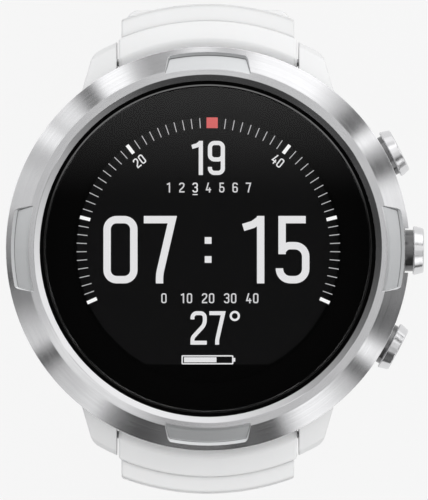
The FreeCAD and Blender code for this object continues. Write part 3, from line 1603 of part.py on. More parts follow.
def export():
    """Write each piece to parts/NODE.step."""
    os.makedirs("parts", exist_ok=True)
    for shape in PIECES:
        shape.Shape.exportStep(f"parts/{shape.Label}.step")


s = fill_sheet()
build()
DOC.recompute()
check()
export()
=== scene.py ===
"""Looks of a wrist-worn dive computer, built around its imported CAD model.

Frame: metres, +Z up and out of the glass, +Y towards 12 o'clock, +X towards the buttons.
The origin is on the case axis, on the ground that the strap stands on. Sizes in the classes
are millimetres and degrees, and MM turns them into metres.
"""

from __future__ import annotations

import json
import logging
import math
from dataclasses import dataclass, field
from enum import Enum
from functools import reduce

import bmesh
import bpy
import numpy as np
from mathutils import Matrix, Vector
from mathutils.geometry import delaunay_2d_cdt

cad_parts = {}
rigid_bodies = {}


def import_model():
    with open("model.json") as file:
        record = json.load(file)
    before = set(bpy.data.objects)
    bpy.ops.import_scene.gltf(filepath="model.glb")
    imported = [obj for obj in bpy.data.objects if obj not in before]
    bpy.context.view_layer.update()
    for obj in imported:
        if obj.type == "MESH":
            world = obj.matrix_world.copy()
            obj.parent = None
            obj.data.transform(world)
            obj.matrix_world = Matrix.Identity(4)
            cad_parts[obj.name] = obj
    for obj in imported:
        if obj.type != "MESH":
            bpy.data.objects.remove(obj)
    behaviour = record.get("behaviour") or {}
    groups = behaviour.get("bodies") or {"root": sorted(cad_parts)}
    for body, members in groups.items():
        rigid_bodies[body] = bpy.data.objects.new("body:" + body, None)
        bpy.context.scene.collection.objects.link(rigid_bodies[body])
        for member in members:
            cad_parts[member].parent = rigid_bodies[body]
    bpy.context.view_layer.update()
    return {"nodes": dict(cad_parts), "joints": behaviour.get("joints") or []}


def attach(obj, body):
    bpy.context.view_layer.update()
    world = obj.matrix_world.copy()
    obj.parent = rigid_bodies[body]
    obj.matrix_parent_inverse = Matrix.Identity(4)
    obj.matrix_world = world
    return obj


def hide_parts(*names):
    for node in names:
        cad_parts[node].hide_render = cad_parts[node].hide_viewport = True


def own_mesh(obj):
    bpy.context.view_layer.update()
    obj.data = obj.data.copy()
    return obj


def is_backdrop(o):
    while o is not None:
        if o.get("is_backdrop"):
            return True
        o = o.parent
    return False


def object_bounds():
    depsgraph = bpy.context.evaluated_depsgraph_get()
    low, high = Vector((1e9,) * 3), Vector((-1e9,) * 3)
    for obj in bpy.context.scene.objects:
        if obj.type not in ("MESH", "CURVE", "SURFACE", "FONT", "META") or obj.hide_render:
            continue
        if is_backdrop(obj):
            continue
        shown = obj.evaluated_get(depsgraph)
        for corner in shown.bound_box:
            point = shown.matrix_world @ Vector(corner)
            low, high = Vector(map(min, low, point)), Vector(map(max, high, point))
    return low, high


MM = 0.001
EDGE_COSINES = (0.995, 0.9)
LOG = logging.getLogger("dive_computer")
Points = np.ndarray
Socket = bpy.types.NodeSocket
Colour = tuple[float, float, float]
Pair = tuple[float, float]


# ---------------------------------------------------------------- shader building
def shaded(tint: Colour, share: float) -> Colour:
    """Tint with each of its parts multiplied by a share."""
    return tuple(share * part for part in tint)


def grey(level: float) -> Colour:
    """Even grey."""
    return (level, level, level)


class Graph:
    """Node tree of one material or world, with short calls for its usual nodes."""

    def __init__(self, tree: bpy.types.NodeTree) -> None:
        """Empties the tree and keeps it."""
        tree.nodes.clear()
        self.tree = tree

    def node(self, kind: str, settings: dict | None = None, **inputs: object) -> bpy.types.Node:
        """Adds a node, sets its properties and fills or links its inputs.

        Args:
            kind: Node type without the leading "ShaderNode".
            settings: Node properties by name.
            **inputs: Socket name, with "_" for a blank, and a number, a colour or a socket.

        Returns:
            The new node.
        """
        made = self.tree.nodes.new("ShaderNode" + kind)
        for name, value in (settings or {}).items():
            setattr(made, name, value)
        for name, value in inputs.items():
            self.feed(made.inputs[int(name[1:]) if name[1:].isdigit() else name.replace("_", " ")], value)
        return made

    def feed(self, socket: Socket, value: object) -> None:
        """Links a socket to an input, or sets the input's own value.

        Args:
            socket: The input.
            value: A socket, a number or a colour.
        """
        if isinstance(value, bpy.types.NodeSocket):
            self.tree.links.new(value, socket)
        else:
            plain = isinstance(value, tuple) and len(value) == 3 and socket.type == "RGBA"
            socket.default_value = (*value, 1.0) if plain else value

    def out(self, kind: str, settings: dict | None = None, **inputs: object) -> Socket:
        """First output of a new node."""
        return self.node(kind, settings, **inputs).outputs[0]

    def maths(self, operation: str, first: object, second: object = 0.0) -> Socket:
        """Result of a Math node with one or two values."""
        return self.out("Math", {"operation": operation}, _0=first, _1=second)

    def times(self, *values: object) -> Socket:
        """Product of numbers."""
        return reduce(lambda first, second: self.maths("MULTIPLY", first, second), values)

    def plus(self, *values: object) -> Socket:
        """Sum of numbers."""
        return reduce(lambda first, second: self.maths("ADD", first, second), values)

    def within(self, value: Socket, limits: Pair) -> Socket:
        """1 where a value lies between two limits."""
        low, high = limits
        return self.times(self.maths("GREATER_THAN", value, low), self.maths("LESS_THAN", value, high))

    def vector(self, operation: str, first: object, second: object = (0, 0, 0)) -> Socket:
        """Vector that a Vector Math node makes of one or two vectors."""
        return self.out("VectorMath", {"operation": operation}, _0=first, _1=second)

    def number(self, operation: str, first: object, second: object = (0, 0, 0)) -> Socket:
        """Number that a Vector Math node makes of one or two vectors."""
        return self.node("VectorMath", {"operation": operation}, _0=first, _1=second).outputs["Value"]

    def scaled(self, vector: Socket, share: object) -> Socket:
        """Vector multiplied by a number."""
        return self.out("VectorMath", {"operation": "SCALE"}, _0=vector, Scale=share)

    def part(self, vector: Socket, axis: str) -> Socket:
        """One part of a vector."""
        return self.node("SeparateXYZ", Vector=vector).outputs[axis]

    def flat(self, place: Socket) -> Socket:
        """Vector without its upward part."""
        return self.vector("MULTIPLY", place, (1, 1, 0))

    def noise(self, coordinates: Socket, scale: float, detail: float = 3.0, roughness: float = 0.5) -> Socket:
        """Noise from 0 to 1 at a number of grains per millimetre."""
        return self.out("TexNoise", Vector=coordinates, Scale=scale, Detail=detail, Roughness=roughness)

    def fit(self, value: Socket, low: float, high: float, start: float = 0.0, end: float = 1.0) -> Socket:
        """Value carried from the range low..high to start..end, held at its ends."""
        ends = {"_1": low, "_2": high, "_3": start, "_4": end}
        return self.out("MapRange", {"interpolation_type": "SMOOTHSTEP"}, Value=value, **ends)

    def blend(self, share: object, first: object, second: object, way: str = "MIX") -> Socket:
        """Mix of two colours."""
        settings = {"data_type": "RGBA", "blend_type": way}
        return self.node("Mix", settings, _0=share, _6=first, _7=second).outputs[2]

    def mixed(self, share: object, first: Socket, second: Socket) -> Socket:
        """Mix of two shaders."""
        return self.out("MixShader", _0=share, _1=first, _2=second)

    def bump(self, height: Socket, depth: float, **normal: Socket) -> Socket:
        """Normal bent by a height from 0 to 1 that stands for a depth in millimetres."""
        return self.out("Bump", Height=height, Distance=depth * MM, Strength=1.0, **normal)

    def place(self) -> Socket:
        """Object coordinates in millimetres."""
        return self.scaled(self.node("TexCoord").outputs["Object"], 1 / MM)

    def radius(self, place: Socket) -> Socket:
        """Distance from the case axis."""
        return self.number("LENGTH", self.flat(place))

    def cells(self, place: Socket, pitch: float, tint: Colour, share: float) -> Socket:
        """Colour of the display's cells: a tint, and a share of it in every other cell."""
        other = self.node("TexChecker", Vector=place, Scale=1 / pitch).outputs["Fac"]
        return self.blend(other, tint, shaded(tint, share))

    def leaning(self, normal: Socket, upward: object, *outward: Socket) -> Socket:
        """Normal drawn towards the zenith, and sideways by vectors, then brought back to length 1.

        Args:
            normal: The normal.
            upward: How far it is drawn up.
            *outward: Vectors that draw it sideways.

        Returns:
            The new normal.
        """
        drawn = self.vector("ADD", normal, self.out("CombineXYZ", Z=upward))
        for way in outward:
            drawn = self.vector("ADD", drawn, way)
        return self.vector("NORMALIZE", drawn)

    def softened(self, radius: float) -> Socket:
        """Normal rounded over the edges by a radius in millimetres."""
        return self.out("Bevel", {"samples": 6}, Radius=radius * MM)

    def edge(self, radius: float) -> Socket:
        """Share from 0 on a face to 1 at an edge, as wide as a radius in millimetres."""
        plain = self.node("NewGeometry").outputs["Normal"]
        return self.fit(self.number("DOT_PRODUCT", self.softened(radius), plain), *EDGE_COSINES)


# ---------------------------------------------------------------- finishes
@dataclass(frozen=True)
class Finish:
    """Finish of one material. Each kind of finish says how its surface looks."""

    name: str

    def surface(self, graph: Graph, place: Socket) -> Socket:
        """Shader of the finish at a place in millimetres."""
        raise NotImplementedError

    def build(self) -> bpy.types.Material:
        """Material with this finish.

        Returns:
            The material.
        """
        material = bpy.data.materials.new(self.name)
        material.use_nodes = True
        graph = Graph(material.node_tree)
        graph.node("OutputMaterial", Surface=self.surface(graph, graph.place()))
        return material


class Grain(Enum):
    """How a metal was worked."""

    TURNED = "turned"
    ALONG_X = "along x"
    SCATTERED = "scattered"


@dataclass(frozen=True)
class Metal(Finish):
    """Metal with the fine marks of its working, and a painted highlight that brightens its edges."""

    tint: Colour
    roughness: float = 0.3
    grain: Grain = Grain.SCATTERED
    pitch: float = 0.12
    anisotropy: float = 0.0
    mark_depth: float = 0.003
    edge_radius: float = 0.12
    mark_length: float = 20.0
    ring_drift: float = 0.35
    stain_scale: float = 0.35
    rough_spread: Pair = (0.8, 1.2)
    mark_shades: Pair = (1.05, 0.88)
    painted_edge_highlight: float = 1.15
    mark_range: Pair = (0.25, 0.75)
    mark_turn: float = 0.25
    scatter_detail: float = 4.0

    def marks(self, graph: Graph, place: Socket) -> Socket:
        """Working marks from 0 to 1: noise drawn out along the tool's path.

        Args:
            graph: Node tree to add to.
            place: Coordinates in millimetres.

        Returns:
            The marks.
        """
        density = 1 / self.pitch
        if self.grain is Grain.SCATTERED:
            return graph.noise(place, density, self.scatter_detail)
        if self.grain is Grain.ALONG_X:
            return graph.noise(graph.vector("MULTIPLY", place, (1 / self.mark_length, 1.0, 1.0)), density)
        flat = graph.flat(place)
        drift = (self.ring_drift, self.ring_drift, 0)
        slow = graph.vector("MULTIPLY", graph.vector("NORMALIZE", flat), drift)
        level = graph.out("CombineXYZ", Z=graph.times(graph.part(place, "Z"), density))
        across = graph.times(graph.number("LENGTH", flat), density)
        drawn = graph.vector("ADD", slow, level)
        four = {"noise_dimensions": "4D"}
        return graph.out("TexNoise", four, Vector=drawn, W=across, Scale=1.0, Detail=3.0)

    def worked(self, graph: Graph, place: Socket, tint: object, normal: Socket) -> bpy.types.Node:
        """Shader of the worked metal.

        Args:
            graph: Node tree to add to.
            place: Coordinates in millimetres.
            tint: Tint under the marks.
            normal: Normal under the marks.

        Returns:
            The shader node.
        """
        marks = self.marks(graph, place)
        stain = graph.noise(place, self.stain_scale)
        spread = [share * self.roughness for share in self.rough_spread]
        shades = graph.blend(graph.times(marks, stain), *(grey(level) for level in self.mark_shades))
        # painted highlight: the base colour is brightened in a thin band along every edge
        shades = graph.blend(graph.edge(self.edge_radius), shades, grey(self.painted_edge_highlight))
        brushed = {}
        if self.anisotropy:
            tangent = graph.out("Tangent", {"direction_type": "RADIAL", "axis": "Z"})
            brushed = {"Anisotropic": self.anisotropy, "Tangent": tangent}
            brushed["Anisotropic_Rotation"] = self.mark_turn
        return graph.node(
            "BsdfPrincipled",
            Base_Color=graph.blend(1.0, tint, shades, "MULTIPLY"),
            Roughness=graph.fit(marks, *self.mark_range, *spread),
            Normal=graph.bump(marks, self.mark_depth, Normal=normal),
            Metallic=1.0,
            **brushed,
        )

    def surface(self, graph: Graph, place: Socket) -> Socket:
        """Shader of the metal at a place in millimetres."""
        return self.worked(graph, place, self.tint, graph.softened(self.edge_radius)).outputs[0]


@dataclass(frozen=True)
class BezelMetal(Metal):
    """Brushed bezel with a polished inner wall and four pockets blasted to an even satin, with a painted
    shadow line at the foot of each pocket's outer wall.

    The normal of each zone leans by its own amount, which sets the height of the surroundings
    that the zone mirrors.
    """

    top: float = 90.0
    wall: Pair = (22.0, 22.82)
    wall_lean: float = 0.086
    wall_roughness: float = 0.07
    cone_start: float = 23.85
    cone_fall: float = 2.1 / 2.65
    cone_lean: float = 0.23
    flat_lean: float = 0.0875
    flat_roughness: float = 0.72
    band_start: float = 26.45
    band_tint: Colour = (0.88, 0.88, 0.89)
    pocket: Pair = (23.4, 25.84)
    pocket_depth: Pair = (0.03, 1.3)
    pocket_start: float = 23.5
    pocket_fall: float = 2.3 / 1.8
    pocket_lean: float = 1.75
    pocket_foot: Pair = (0.03, 0.35)
    pocket_tint: Colour = (0.70, 0.71, 0.72)
    pocket_roughness: float = 0.34
    grit_scale: float = 12.0
    grit_detail: float = 2.0
    grit_depth: float = 0.002
    grit_shade: float = 0.95
    painted_foot_shadow: float = 0.4

    def zones(self, graph: Graph, place: Socket) -> dict[str, Socket]:
        """Shares of the bezel's zones.

        The cone falls from the top by an even share of the radius, and what lies a little below
        it is a pocket. A pocket's floor falls faster; its walls start where the surface leaves it.

        Args:
            graph: Node tree to add to.
            place: Coordinates in millimetres.

        Returns:
            Zone name, and a share that is 1 inside the zone.
        """
        radius, level = graph.radius(place), graph.part(place, "Z")
        beyond = graph.maths("MAXIMUM", graph.maths("SUBTRACT", radius, self.cone_start), 0.0)
        cone = graph.maths("SUBTRACT", self.top, graph.times(beyond, self.cone_fall))
        below = graph.within(graph.maths("SUBTRACT", cone, level), self.pocket_depth)
        pocket = graph.times(below, graph.within(radius, self.pocket))
        run_out = graph.times(graph.maths("SUBTRACT", radius, self.pocket_start), self.pocket_fall)
        climb = graph.maths("SUBTRACT", graph.plus(level, run_out), self.top)
        return {
            "pocket": pocket,
            "foot": graph.times(pocket, graph.within(climb, self.pocket_foot)),
            "wall": graph.within(radius, self.wall),
            "flat": graph.within(radius, (self.wall[1], self.cone_start)),
            "cone": graph.within(radius, (self.cone_start, self.band_start)),
            "band": graph.maths("GREATER_THAN", radius, self.band_start),
        }

    def leaned(self, graph: Graph, place: Socket, zones: dict[str, Socket]) -> Socket:
        """Normal under the marks: rounded over the edges, then leaned zone by zone.

        Args:
            graph: Node tree to add to.
            place: Coordinates in millimetres.
            zones: Shares of the zones.

        Returns:
            The normal.
        """
        leans = {"wall": self.wall_lean, "cone": self.cone_lean, "pocket": self.pocket_lean}
        upward = graph.plus(*(graph.times(zones[zone], lean) for zone, lean in leans.items()))
        away = graph.vector("NORMALIZE", graph.flat(place))
        outward = graph.scaled(away, graph.times(zones["flat"], self.flat_lean))
        return graph.leaning(graph.softened(self.edge_radius), upward, outward)

    def surface(self, graph: Graph, place: Socket) -> Socket:
        """Shader of the bezel: brushed, with a polished wall and satin pockets.

        Args:
            graph: Node tree to add to.
            place: Coordinates in millimetres.

        Returns:
            The shader.
        """
        zones = self.zones(graph, place)
        leaned = self.leaned(graph, place, zones)
        brushed = self.worked(graph, place, self.tint, leaned)
        rough, tint = (brushed.inputs[name].links[0].from_socket for name in ("Roughness", "Base Color"))
        share = graph.fit(zones["flat"], 0.0, 1.0, 1.0, self.flat_roughness)
        graph.feed(brushed.inputs["Roughness"], graph.times(rough, share))
        graph.feed(brushed.inputs["Base Color"], graph.blend(zones["band"], tint, self.band_tint))
        grit = graph.noise(place, self.grit_scale, self.grit_detail)
        shade = graph.blend(grit, self.pocket_tint, shaded(self.pocket_tint, self.grit_shade))
        # painted shadow: the tint is darkened in a thin line at the foot of each pocket's outer wall
        shade = graph.blend(zones["foot"], shade, shaded(self.pocket_tint, self.painted_foot_shadow))
        rugged = graph.bump(grit, self.grit_depth, Normal=leaned)
        polished, satin = (
            graph.out("BsdfPrincipled", Base_Color=colour, Normal=normal, Roughness=roughness, Metallic=1.0)
            for colour, normal, roughness in (
                (self.tint, leaned, self.wall_roughness),
                (shade, rugged, self.pocket_roughness),
            )
        )
        shader = graph.mixed(zones["wall"], brushed.outputs[0], polished)
        return graph.mixed(zones["pocket"], shader, satin)


@dataclass(frozen=True)
class ButtonMetal(Metal):
    """Button turned about its own axis, with painted shade that darkens its neck."""

    axis_angle: float = 0.0
    axis_level: float = 81.9
    head_start: float = 27.05
    head_blur: float = 0.05
    painted_neck_shade: float = 0.22

    def surface(self, graph: Graph, place: Socket) -> Socket:
        """Shader of the button, whose axis becomes the z of its marks.

        Args:
            graph: Node tree to add to.
            place: Coordinates in millimetres.

        Returns:
            The shader.
        """
        moved = graph.vector("SUBTRACT", place, (0, 0, self.axis_level))
        for turn in ((0.0, 0.0, -math.radians(self.axis_angle)), (0.0, -math.pi / 2, 0.0)):
            moved = graph.out("Mapping", {"vector_type": "POINT"}, Vector=moved, Rotation=turn)
        start, blur = self.head_start, self.head_blur
        head = graph.fit(graph.part(moved, "Z"), start - blur, start + blur)
        # painted shade: the tint is darkened on the neck, short of the head, where shadow falls
        tint = graph.blend(head, shaded(self.tint, self.painted_neck_shade), self.tint)
        return self.worked(graph, moved, tint, graph.softened(self.edge_radius)).outputs[0]


@dataclass(frozen=True)
class Moulded(Finish):
    """Moulded plastic or rubber: fine grain, faint mottling, softened edges and, where set, painted shade in
    its crevices.
    """

    tint: Colour
    roughness: float = 0.5
    grain: float = 0.14
    grain_depth: float = 0.006
    mottle: float = 0.04
    edge_radius: float = 0.15
    gloss: float = 0.5
    sheen: float = 0.0
    depth_share: float = 0.0
    depth_reach: float = 1.0
    # reach in millimetres of the painted crevice shade; 0 for none
    crevice: float = 0.0
    upper_lean: float = 0.0
    cloud_scale: float = 0.12
    cloud_range: Pair = (0.3, 0.7)
    crevice_painted_shade: float = 0.3
    crevice_shade_range: Pair = (0.05, 0.6)
    grit_range: Pair = (0.3, 0.7)
    grit_detail: Pair = (3.0, 0.6)
    rough_spread: Pair = (0.85, 1.1)
    upper_range: Pair = (0.75, 0.9)
    depth_tints: Colour = (1.0, 0.95, 0.9)

    def normal(self, graph: Graph, place: Socket) -> Socket:
        """Normal under the grain: rounded over the edges, and more level on upper faces.

        Args:
            graph: Node tree to add to.
            place: Coordinates in millimetres.

        Returns:
            The normal.
        """
        normal = graph.softened(self.edge_radius)
        if not self.upper_lean:
            return normal
        upward = graph.fit(graph.part(normal, "Z"), *self.upper_range, 0.0, self.upper_lean)
        return graph.leaning(normal, upward)

    def surface(self, graph: Graph, place: Socket) -> Socket:
        """Shader of the moulding, with painted shade that darkens its crevices.

        Args:
            graph: Node tree to add to.
            place: Coordinates in millimetres.

        Returns:
            The shader.
        """
        grit = graph.noise(place, 1 / self.grain, *self.grit_detail)
        cloud = graph.fit(graph.noise(place, self.cloud_scale), *self.cloud_range)
        shade = graph.blend(cloud, self.tint, shaded(self.tint, 1 - self.mottle))
        if self.crevice:
            # painted shade: ambient occlusion darkens the colour in crevices and between parts
            hollow = graph.node("AmbientOcclusion", {"samples": 8}, Distance=self.crevice * MM)
            painted_shadow = shaded(self.tint, self.crevice_painted_shade)
            shade = graph.blend(graph.fit(hollow.outputs["AO"], *self.crevice_shade_range), painted_shadow, shade)
        spread = [share * self.roughness for share in self.rough_spread]
        return graph.out(
            "BsdfPrincipled",
            Base_Color=shade,
            Roughness=graph.fit(grit, *self.grit_range, *spread),
            Normal=graph.bump(grit, self.grain_depth, Normal=self.normal(graph, place)),
            Specular_IOR_Level=self.gloss,
            Sheen_Weight=self.sheen,
            Subsurface_Weight=self.depth_share,
            Subsurface_Radius=self.depth_tints,
            Subsurface_Scale=self.depth_reach * MM,
        )


@dataclass(frozen=True)
class StrapRubber(Moulded):
    """Strap rubber. On the stepped head, all but the broad band is shaded as nearly level."""

    head_level: float = 81.6
    head_half: float = 11.3
    band: Pair = (27.6, 30.03)
    lean: float = 4.0

    def normal(self, graph: Graph, place: Socket) -> Socket:
        """Normal under the grain: rounded over the edges, then leaned beside the broad band.

        Args:
            graph: Node tree to add to.
            place: Coordinates in millimetres.

        Returns:
            The normal.
        """
        spread = graph.vector("ABSOLUTE", place)
        radius = graph.radius(place)
        upper = graph.maths("GREATER_THAN", graph.part(spread, "Z"), self.head_level)
        middle = graph.maths("LESS_THAN", graph.part(spread, "X"), self.head_half)
        inner = graph.maths("LESS_THAN", radius, self.band[0])
        beside = graph.maths("MAXIMUM", inner, graph.maths("GREATER_THAN", radius, self.band[1]))
        upward = graph.times(upper, middle, beside, self.lean)
        return graph.leaning(graph.softened(self.edge_radius), upward)


@dataclass(frozen=True)
class Glass(Finish):
    """Clear front glass: it lets light through, mirrors at its face and is ground at its bevel."""

    name: str = "front_glass_clear"
    ior: float = 1.5
    wipe_scale: float = 0.25
    wipe_detail: float = 4.0
    wipe_range: Pair = (0.3, 0.8)
    film_shade: float = 0.94
    bevel_start: float = 21.35
    bevel_tint: Colour = (0.007, 0.007, 0.007)
    bevel_lean: float = 125.0
    bevel_roughness: float = 0.03
    bevel_mirror: float = 0.18

    def surface(self, graph: Graph, place: Socket) -> Socket:
        """Shader of the glass.

        Args:
            graph: Node tree to add to.
            place: Coordinates in millimetres.

        Returns:
            The shader.
        """
        shape = graph.node("NewGeometry").outputs
        wipe = graph.fit(graph.noise(place, self.wipe_scale, self.wipe_detail), *self.wipe_range)
        film = graph.blend(wipe, (1, 1, 1), grey(self.film_shade))
        mirror = graph.out("BsdfGlossy", Color=film, Roughness=0.0)
        outside = graph.maths("SUBTRACT", 1.0, shape["Backfacing"])
        share = graph.times(graph.out("Fresnel", IOR=self.ior), outside)
        front = graph.mixed(share, graph.out("BsdfTransparent", Color=(1, 1, 1)), mirror)
        leaned = graph.leaning(shape["Normal"], self.bevel_lean)
        shine = graph.out("BsdfGlossy", Color=(1, 1, 1), Roughness=self.bevel_roughness, Normal=leaned)
        ground = graph.mixed(self.bevel_mirror, graph.out("BsdfDiffuse", Color=self.bevel_tint), shine)
        return graph.mixed(graph.maths("GREATER_THAN", graph.radius(place), self.bevel_start), front, ground)


@dataclass(frozen=True)
class PanelFace(Finish):
    """Dark display panel whose lit field is a circle cut off by a flat at its foot."""

    name: str = "panel_face"
    field_radius: float = 17.2
    field_foot: float = -15.2
    field_tint: Colour = (0.0062, 0.0062, 0.0064)
    border_tint: Colour = (0.0012, 0.0012, 0.0012)
    cell_pitch: float = 0.09
    cell_share: float = 0.92
    roughness: float = 0.6

    def surface(self, graph: Graph, place: Socket) -> Socket:
        """Shader of the panel, whose lit field shows its cells.

        Args:
            graph: Node tree to add to.
            place: Coordinates in millimetres.

        Returns:
            The shader.
        """
        within = graph.maths("LESS_THAN", graph.radius(place), self.field_radius)
        inside = graph.times(within, graph.maths("GREATER_THAN", graph.part(place, "Y"), self.field_foot))
        cells = graph.cells(place, self.cell_pitch, self.field_tint, self.cell_share)
        shade = graph.blend(inside, self.border_tint, cells)
        return graph.out("BsdfPrincipled", Base_Color=shade, Roughness=self.roughness, Specular_IOR_Level=0.0)


@dataclass(frozen=True)
class LitInk(Finish):
    """Lit cells of the display, with the grid between the cells."""

    tint: Colour
    cell_pitch: float = 0.09
    cell_share: float = 0.97
    roughness: float = 0.6

    def surface(self, graph: Graph, place: Socket) -> Socket:
        """Shader of the lit cells at a place in millimetres."""
        dark = {"Base_Color": (0, 0, 0), "Roughness": self.roughness, "Specular_IOR_Level": 0.0}
        glow = graph.cells(place, self.cell_pitch, self.tint, self.cell_share)
        return graph.out("BsdfPrincipled", Emission_Color=glow, Emission_Strength=1.0, **dark)


@dataclass(frozen=True)
class Board(Finish):
    """Circuit board: solder mask over copper runs, with bare pads."""

    name: str = "board_mask"
    mask: Colour = (0.02, 0.14, 0.06)
    copper: Colour = (0.06, 0.24, 0.10)
    pad: Colour = (0.75, 0.62, 0.35)
    run_scale: float = 0.7
    run_pitch: float = 0.09
    run_edge: Pair = (0.03, 0.05)
    run_depth: float = 0.03
    pad_reach: float = 0.07
    roughness: float = 0.35

    def surface(self, graph: Graph, place: Socket) -> Socket:
        """Shader of the board: copper runs along even distances from scattered pads.

        Args:
            graph: Node tree to add to.
            place: Coordinates in millimetres.

        Returns:
            The shader.
        """
        cells = {"feature": "F1", "distance": "CHEBYCHEV"}
        runs = graph.out("TexVoronoi", cells, Vector=place, Scale=self.run_scale)
        lines = graph.fit(graph.maths("PINGPONG", runs, self.run_pitch), *self.run_edge)
        pads = graph.maths("LESS_THAN", runs, self.pad_reach)
        shade = graph.blend(pads, graph.blend(lines, self.mask, self.copper), self.pad)
        coat = {"Base_Color": shade, "Metallic": pads, "Roughness": self.roughness}
        return graph.out("BsdfPrincipled", Normal=graph.bump(lines, self.run_depth), **coat)


# ---------------------------------------------------------------- mesh building
CRISP = 35.0
CRISP_CUT = 32.0


def smooth(mesh: bpy.types.Mesh, angle: float) -> None:
    """Shades a mesh smooth but for edges that are sharper than an angle in degrees."""
    mesh.polygons.foreach_set("use_smooth", np.ones(len(mesh.polygons), bool))
    mesh.set_sharp_from_angle(angle=math.radians(angle))


def linked(name: str, mesh: bpy.types.Mesh) -> bpy.types.Object:
    """New object of a mesh, in the scene."""
    made = bpy.data.objects.new(name, mesh)
    bpy.context.scene.collection.objects.link(made)
    return made


def settle(
    piece: bpy.types.Object, finish: bpy.types.Material, body: str, slot: str, *nodes: str
) -> bpy.types.Object:
    """Dresses a piece and lets it ride on a body.

    Args:
        piece: The piece.
        finish: Its material.
        body: CAD body that it rides on.
        slot: Slot of the record that its finish belongs to. Not used.
        *nodes: CAD nodes that it stands for.

    Returns:
        The piece.
    """
    piece.data.materials.clear()
    piece.data.materials.append(finish)
    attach(piece, body)
    if nodes:
        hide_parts(*nodes)
    return piece


def filled(outline: Points) -> list[list[int]]:
    """Triangles that fill a closed outline.

    The outline is laid into the plane of its two longest directions and filled by Delaunay's
    rule, so that no triangle overlaps another.

    Args:
        outline: Points of the outline, in order.

    Returns:
        The triangles, by the numbers of the outline's points.
    """
    centred = outline - outline.mean(axis=0)
    flat = centred @ np.linalg.svd(centred, full_matrices=False)[2][:2].T
    made = delaunay_2d_cdt([Vector(point) for point in flat], [], [list(range(len(flat)))], 1, 1e-7)
    return [[made[3][corner][0] for corner in face] for face in made[2]]


def lathe(profile: Points, centre: Points, axis: Points, count: int = 48) -> Points:
    """Surface of revolution.

    Point (j, i) lies at centre + axis * height_j + radius_j * (p cos a_i + q sin a_i), where p and
    q stand across the axis and a_i goes round once.

    Args:
        profile: Radius and height of each profile point.
        centre: Point on the axis.
        axis: Direction of the axis, of length 1.
        count: Points round the axis.

    Returns:
        Array of profile length by count by 3.
    """
    centre, axis, profile = np.asarray(centre, float), np.asarray(axis, float), profile[:, None]
    across = np.cross(axis, (0.0, 0.0, 1.0) if abs(axis[2]) < 0.9 else (1.0, 0.0, 0.0))
    across = across / np.linalg.norm(across)
    turn = np.linspace(0, 2 * math.pi, count, endpoint=False)[:, None]
    out = np.cos(turn) * across + np.sin(turn) * np.cross(axis, across)
    return centre + axis * profile[..., 1:] + out * profile[..., :1]


def rectangle(low: Pair, high: Pair) -> Points:
    """Corners of an upright rectangle, anticlockwise from its lower left one."""
    return np.array([low, (high[0], low[1]), high, (low[0], high[1])], float)


@dataclass
class Solid:
    """Closed mesh in millimetres, gathered from grids of points."""

    points: list[Points] = field(default_factory=list)
    faces: list[list[int]] = field(default_factory=list)
    count: int = 0

    def add(self, points: Points, faces: list[list[int]]) -> None:
        """Adds a shell and shifts its face numbers."""
        self.faces += [[corner + self.count for corner in face] for face in faces]
        self.points.append(points)
        self.count += len(points)

    def grid(self, points: Points, closed_rows: bool = False) -> None:
        """Adds the quads between neighbouring points of a grid whose rows are closed loops.

        Point (i, j) stands at number i * columns + j, and each quad joins it with its next row
        and its next column. An open first and last row each get one flat face as a lid.

        Args:
            points: Array of rows by columns by 3.
            closed_rows: True if the last row joins the first.
        """
        rows, columns = points.shape[:2]
        row, column = np.meshgrid(np.arange(rows - (not closed_rows)), np.arange(columns), indexing="ij")
        below, beside = (row + 1) % rows, (column + 1) % columns
        corners = ((row, column), (below, column), (below, beside), (row, beside))
        faces = np.stack([r * columns + c for r, c in corners], axis=-1).reshape(-1, 4).tolist()
        if not closed_rows:
            for first, lid in ((0, points[0]), ((rows - 1) * columns, points[-1])):
                faces += [[first + corner for corner in face] for face in filled(lid)]
        self.add(points.reshape(-1, 3), faces)

    def rod(self, profile: Points, centre: Points, axis: Points) -> None:
        """Adds a turned solid whose profile ends are closed by flat lids."""
        self.grid(lathe(profile, centre, axis))

    def prism(self, outline: Points, foot: float, top: float) -> None:
        """Adds a flat outline carried from one height to another."""
        self.grid(np.stack([np.column_stack([outline, np.full(len(outline), z)]) for z in (foot, top)]))

    def build(self, name: str, crisp: float = CRISP) -> bpy.types.Object:
        """Object of the gathered shells, in metres, with its faces turned outwards.

        Args:
            name: Name of the object.
            crisp: Edges sharper than this many degrees stay crisp.

        Returns:
            The object, at the origin.
        """
        mesh = bpy.data.meshes.new(name)
        mesh.from_pydata((np.concatenate(self.points) * MM).tolist(), [], self.faces)
        turned = bmesh.new()
        turned.from_mesh(mesh)
        bmesh.ops.recalc_face_normals(turned, faces=turned.faces)
        turned.to_mesh(mesh)
        turned.free()
        smooth(mesh, crisp)
        return linked(name, mesh)


def carve(base: bpy.types.Object, cutter: bpy.types.Object) -> None:
    """Takes the cutter out of the base and removes the cutter.

    Args:
        base: The piece that is cut.
        cutter: The shape that is taken out of it.
    """
    step = base.modifiers.new("carve", "BOOLEAN")
    step.operation, step.solver, step.object = "DIFFERENCE", "EXACT", cutter
    shape = base.evaluated_get(bpy.context.evaluated_depsgraph_get())
    mesh = bpy.data.meshes.new_from_object(shape)
    base.modifiers.remove(step)
    base.data = mesh
    bpy.data.objects.remove(cutter)
    smooth(mesh, CRISP_CUT)


def run(start: object, end: object, count: int) -> Points:
    """Evenly spaced values from start up to, but without, end."""
    return start + (end - start) * (np.arange(count) / count)


def straight(start: tuple, end: tuple, count: int) -> tuple[Points, Points]:
    """Evenly spaced places from start up to, but without, end."""
    return run(start[0], end[0], count), run(start[1], end[1], count)


def joined(rows: list[Points], length: int) -> Points:
    """Rows joined end to end; those that all stations share are repeated for each of them."""
    return np.concatenate([np.broadcast_to(row, (length, row.shape[-1])) for row in rows], axis=1)


